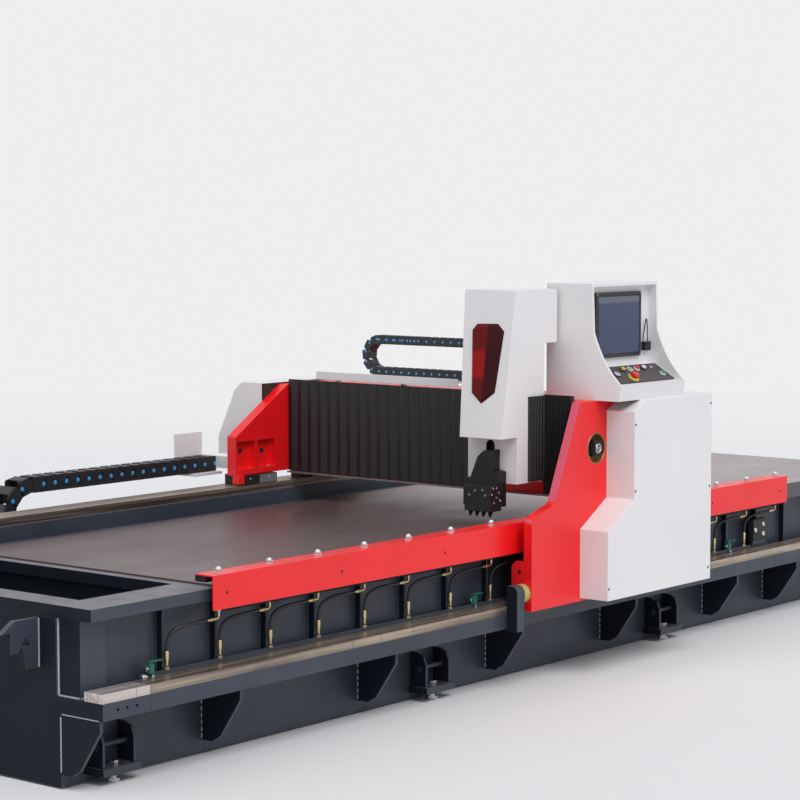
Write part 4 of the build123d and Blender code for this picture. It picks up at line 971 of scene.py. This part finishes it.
hood = Piece("head_hood", "head", "white_paint")
sheet_mesh = bmesh.new()
near_ring = [sheet_mesh.verts.new(p) for p in hood_side(cover_low.y)]
far_ring = [sheet_mesh.verts.new(p) for p in hood_side(cover_high.y)]
fold_corner = sheet_mesh.verts.new(Vector((front_low_x, corner_y, cover_low.z)))
pane_ring = [sheet_mesh.verts.new(on_front(y, z)) for y, z in window_corners]
sheet_mesh.faces.new(near_ring)
sheet_mesh.faces.new(far_ring[1:])
sheet_mesh.faces.new((fold_corner, far_ring[1], far_ring[7]))
for n in (1, 2, 3):
    sheet_mesh.faces.new((near_ring[n], near_ring[n + 1], far_ring[n + 1], far_ring[n]))
front_loop = (near_ring[0], fold_corner, far_ring[1], near_ring[1])
# The front's four sides, from its foot round by the far side, each join a stretch of the window
for side, (first, last) in enumerate(((4, 6), (6, 7), (7, 10), (3, 4))):
    stretch = [pane_ring[n % len(pane_ring)] for n in range(first, last + 1)]
    sheet_mesh.faces.new([front_loop[side], front_loop[(side + 1) % 4]] + stretch[::-1])
sheet_mesh.verts.remove(far_ring[0])
bmesh.ops.recalc_face_normals(sheet_mesh, faces=sheet_mesh.faces[:])
bmesh.ops.solidify(sheet_mesh, geom=sheet_mesh.faces[:], thickness=sheet)
folds = [e for e in sheet_mesh.edges if e.is_manifold and e.calc_face_angle() > 0.5]
round_edges(sheet_mesh, folds, 1.2)
hood.take(sheet_mesh)
hood.make(("head_cover",))

# The window: a thick pane with a wide bevel, its rim lapped over the hood's sheet
pane_bevel = 10
pane_proud = 6
pane_centre = sum((Vector(corner) for corner in window_corners), Vector((0, 0))) / len(window_corners)
window = Piece("window_pane", "head", "window_tint")
pane_mesh = bmesh.new()
rings = []
for inset, out in ((-4, 0.2), (-4, 1.6), (0, 3.5), (pane_bevel, pane_proud)):
    ring_points = []
    for corner in window_corners:
        reach = (Vector(corner) - pane_centre).normalized() * inset
        ring_points.append(pane_mesh.verts.new(on_front(corner[0] - reach.x, corner[1] - reach.y, out)))
    rings.append(ring_points)
for lower, upper in zip(rings, rings[1:]):
    stitch(pane_mesh, lower, upper)
pane_mesh.faces.new(rings[0])
pane_mesh.faces.new(rings[-1])
window.take(pane_mesh)
window.make(("head_window",), smooth=10)

# Bellows' end: a pleated cuff folded against the carriage's near side
cuff_y = (-95, -83.4)
cuff_root = cuff_y[0] + 7
cuff_foot = 862
cuff_folds = 6
cuff = Piece("bellows_cuff", "head", "bellows_cloth")
fold = (step_x[1] - step_x[0]) / cuff_folds
outline = [(step_x[0] + 1, cuff_y[1]), (step_x[0] + 1, cuff_root)]
for n in range(cuff_folds):
    outline.append((step_x[0] + fold * (n + 0.35), cuff_y[0]))
    outline.append((step_x[0] + fold * (n + 0.65), cuff_y[0]))
    outline.append((step_x[0] + fold * (n + 1), cuff_root))
outline.append((step_x[1], cuff_y[1]))
cuff.prism(outline, (0, 0, cuff_foot), right, far, step_z[0] - cuff_foot - 12)
cuff.make(smooth=20)

# Head: painted shade inside the body's slot, the slide's square pockets and the holder's screws
slot_y = (37, 83)
slot_low = 857
slot_top = 1044
slot_front = 2612
slot_back = 2642
slot_round = 22


def slot_outline(inset):
    # The slot's outline in y and z, open at its foot, set in by a small amount
    corner = slot_round - inset
    points = [(slot_y[0] + inset, slot_low)]
    for centre, first in ((slot_y[0] + inset + corner, pi), (slot_y[1] - inset - corner, pi / 2)):
        for n in range(9):
            a = first - pi / 2 * n / 8
            points.append((centre + corner * cos(a), slot_top - inset - corner + corner * sin(a)))
    points.append((slot_y[1] - inset, slot_low))
    return points


# Painted shade: a thin near-black sheet along the slot's sides and back
slot_shade = Piece("slot_painted_shade", "head", "dark_steel", "dark_hole")
band = slot_outline(0.05) + slot_outline(0.55)[::-1]
slot_shade.prism(band, (slot_front + 0.5, 0, 0), far, up, slot_back - slot_front - 1)
slot_shade.prism(slot_outline(0.3), (slot_back - 0.6, 0, 0), far, up, 0.5)
slot_shade.make()
slide_face = 2552
holder_face = -45
holder_front = 2472
side_screws = ((2483, 821), (2516, 846), (2516, 805), (2533, 825), (2490, 849), (2498, 783), (2542, 790))
front_screws = ((-2, 839), (-16, 817), (40, 835), (70, 815))
# Each square pocket is a dark box of painted shade set into the slide's face
pockets = Piece("slide_pockets", "tool", "dark_steel", "dark_hole")
for y, z in ((54, 963), (78, 921)):
    pockets.box((slide_face - 0.5, slide_face + 1), (y - 11, y + 11), (z - 9, z + 9), 0.3)
pockets.make()
bits = Piece("holder_screws", "tool", "bright_steel")
for x, z in side_screws:
    bits.collar((x, holder_face + 0.5, z), near, 4.6, 2.2, 2, 0.5, 16)
for y, z in front_screws:
    bits.collar((holder_front + 0.5, y, z), left, 4.6, 2.2, 2, 0.5, 16)
bits.make()

# Screen: the display's pane inside its frame, the frame's corner screws, and the side box's wire
screen_low, screen_high = stations("screen")
screen_right = screen_low.x + 361
frame_width = 14
frame_face = -233
pane_y = frame_face + 4
wire_route = [(3414, -230, 1447), (3413, -231, 1500), (3403, -232, 1568), (3386, -232, 1520)]
wire_route += [(3371, -231, 1455), (3384, -230, 1440)]
glass = Piece("screen_glass", "gantry", "screen_black", "display")
glass.box(
    (screen_low.x + frame_width + 6, screen_right - frame_width - 2), (pane_y - 2.2, pane_y + 0.5),
    (screen_low.z + frame_width + 4, screen_high.z - frame_width - 6), 0.8,
)
glass.make()
corner_screws = Piece("screen_screws", "gantry", "brass")
for x in (screen_low.x + 8, screen_right - 8):
    for z in (screen_low.z + 8, screen_high.z - 8):
        corner_screws.disc((x, frame_face + 0.5, z), near, 3.4, 1.6, 0.5, 14)
corner_screws.make()
wire = Piece("side_box_wire", "gantry", "hose_rubber", "collar_black")
wire.tube(curved(wire_route), 2.6, 10)
wire.make()

# Control panel on the console's slope: panel_up runs up the slope, panel_out stands off it. Each
# control's place is its x and its distance up the slope
panel_foot = Vector((0, -372, 1283))
panel_up = Vector((0, 115, 68)).normalized()
panel_out = Vector((0, -68, 115)).normalized()
plate_top = 5
collar_top = 7
top_row = 97
yellow_at, teal_at, red_at = (3120, top_row), (3176, top_row), (3231, top_row)
white_at, green_at, stop_at, pale_at = (3285, top_row), (3376, 45), (3124, 34), (3037, 68)
key_x = 3346


def on_panel(place, out=plate_top):
    return panel_foot + Vector((place[0], 0, 0)) + panel_up * place[1] + panel_out * out


plate = Piece("panel_plate", "gantry", "panel_black")
plate_corners = [(2944, 2), (3426, 2), (3426, 131.6), (2944, 131.6)]
plate.prism(plate_corners, panel_foot, right, panel_up, plate_top, 1.2)
plate.make(("control_panel",))
white_rims = Piece("pale_rims", "gantry", "cap_white")
for place in (teal_at, red_at, green_at):
    white_rims.collar(on_panel(place), panel_out, 15, 11.3, collar_top, 1.4)
white_rims.make()
dark_rims = Piece("dark_rims", "gantry", "panel_black", "collar_black")
for place in (yellow_at, white_at):
    dark_rims.collar(on_panel(place), panel_out, 15, 11.3, collar_top, 1.4)
dark_rims.disc(on_panel(pale_at), panel_out, 20, 5.4, 1.2, 32)
dark_rims.make()
lamp_lens = Piece("lamp_lens", "gantry", "cap_green", "lamp_teal")
lamp_lens.dome(on_panel(teal_at), panel_out, 11.2, 6.6, 24)
lamp_lens.make()
big_lens = Piece("big_lamp_lens", "gantry", "cap_white", "lamp_pale")
big_lens.disc(on_panel(pale_at, plate_top + 5), panel_out, 16.5, 2, 0.8, 32)
big_lens.make()
stop_ring = Piece("stop_ring", "gantry", "cap_yellow")
stop_ring.collar(on_panel(stop_at), panel_out, 27, 10.4, 6.8, 2.5, 40)
stop_ring.make()
cap_foot = plate_top + 4.3
cap_profile = [(0, 11), (7.4, 11), (8.5, 10.3), (9, 9), (8.4, 7.5), (8.2, 0)]
button_places = {"yellow": yellow_at, "red": red_at, "white": white_at, "green": green_at}
for name, place in button_places.items():
    button = Piece(name + "_cap", name, "cap_" + name)
    button.lathe(on_panel(place, cap_foot), panel_out, cap_profile, 32)
    button.make((name + "_button",))
stop_profile = [(0, 10), (7.2, 10), (7.6, 18.8), (9.4, 20), (18, 20), (21.5, 18.4), (23.4, 14), (24, 0)]
mushroom = Piece("stop_head", "estop", "cap_red")
mushroom.lathe(on_panel(stop_at, cap_foot), panel_out, stop_profile, 40)
mushroom.make(("e_stop",))
key = Piece("key_and_lock", "key", "bright_steel")
lock_profile = [(0, 9), (6.8, 9), (8, 7.8), (8, 0)]
key.lathe(on_panel((key_x, top_row), plate_top + 0.3), panel_out, lock_profile, 28)
key.disc(on_panel((key_x - 1, top_row), plate_top + 8.5), right, 7.5, 2.2, 0.5, 24)
key.collar(on_panel((key_x, top_row - 6), plate_top + 13), panel_up, 5, 3.8, 1.2, 0.3, 20)
key.make(("key_switch",))

# Floor: far from the machine it passes softly into the plain background
plain_colour = (0.86, 0.86, 0.87)
floor_reach = 60
floor_mesh = bpy.data.meshes.new("floor")
floor_corners = [(-floor_reach, -floor_reach, 0), (floor_reach, -floor_reach, 0)]
floor_corners += [(floor_reach, floor_reach, 0), (-floor_reach, floor_reach, 0)]
floor_mesh.from_pydata(floor_corners, [], [(0, 1, 2, 3)])
floor = bpy.data.objects.new("floor", floor_mesh)
scene.collection.objects.link(floor)
ground = Look("floor_look")
ground.fill(ground.shader, {"Base Color": (0.80, 0.80, 0.81), "Roughness": 0.85})
distance = ground.node("ShaderNodeVectorMath", {0: ground.place}, "LENGTH").outputs["Value"]
fade = ground.node("ShaderNodeMapRange", {"Value": distance, "From Min": 5.0, "From Max": 17.0})
fade.interpolation_type = "SMOOTHSTEP"
share = ground.product(fade.outputs["Result"], ground.seen_rays())
glow = ground.node("ShaderNodeEmission", {"Color": plain_colour}).outputs["Emission"]
lit = ground.shader.outputs["BSDF"]
mixed = ground.node("ShaderNodeMixShader", {"Fac": share, 1: lit, 2: glow})
ground.fill(ground.tree.nodes["Material Output"], {"Surface": mixed.outputs["Shader"]})
floor_mesh.materials.append(looks["floor_look"])

# Studio light: a soft sky that the camera doesn't see, and two wide suns
world = bpy.data.worlds.new("studio")
scene.world = world
world.use_nodes = True
studio = Tree(world.node_tree)
sky = studio.tree.nodes["Background"]
studio.fill(sky, {"Color": (0.93, 0.95, 1.0), "Strength": 0.48})
plain = studio.node("ShaderNodeBackground", {"Color": plain_colour})
both = {1: sky.outputs["Background"], 2: plain.outputs["Background"]}
mixed = studio.node("ShaderNodeMixShader", {"Fac": studio.seen_rays(), **both})
studio.fill(studio.tree.nodes["World Output"], {"Surface": mixed.outputs["Shader"]})


def sun(name, direction, strength, spread):
    data = bpy.data.lights.new(name, "SUN")
    data.energy = strength
    data.angle = radians(spread)
    lamp = bpy.data.objects.new(name, data)
    lamp.rotation_mode = "QUATERNION"
    lamp.rotation_quaternion = Vector(direction).to_track_quat("Z", "Y")
    scene.collection.objects.link(lamp)


sun("key", (-0.30, -0.72, 1.0), 1.75, 35)
sun("fill", (-0.9, 0.25, 0.7), 0.35, 60)

# Camera: solved from the photograph's straight edges
camera_data = bpy.data.cameras.new("camera")
camera_data.lens = 106.46
camera_data.sensor_width = 36
camera_data.clip_end = 200
camera = bpy.data.objects.new("camera", camera_data)
camera.location = (-8.606, -6.835, 2.051)
camera.rotation_euler = (radians(85.385), 0, radians(-51.04))
scene.collection.objects.link(camera)
scene.camera = camera
scene.view_settings.view_transform = "Standard"
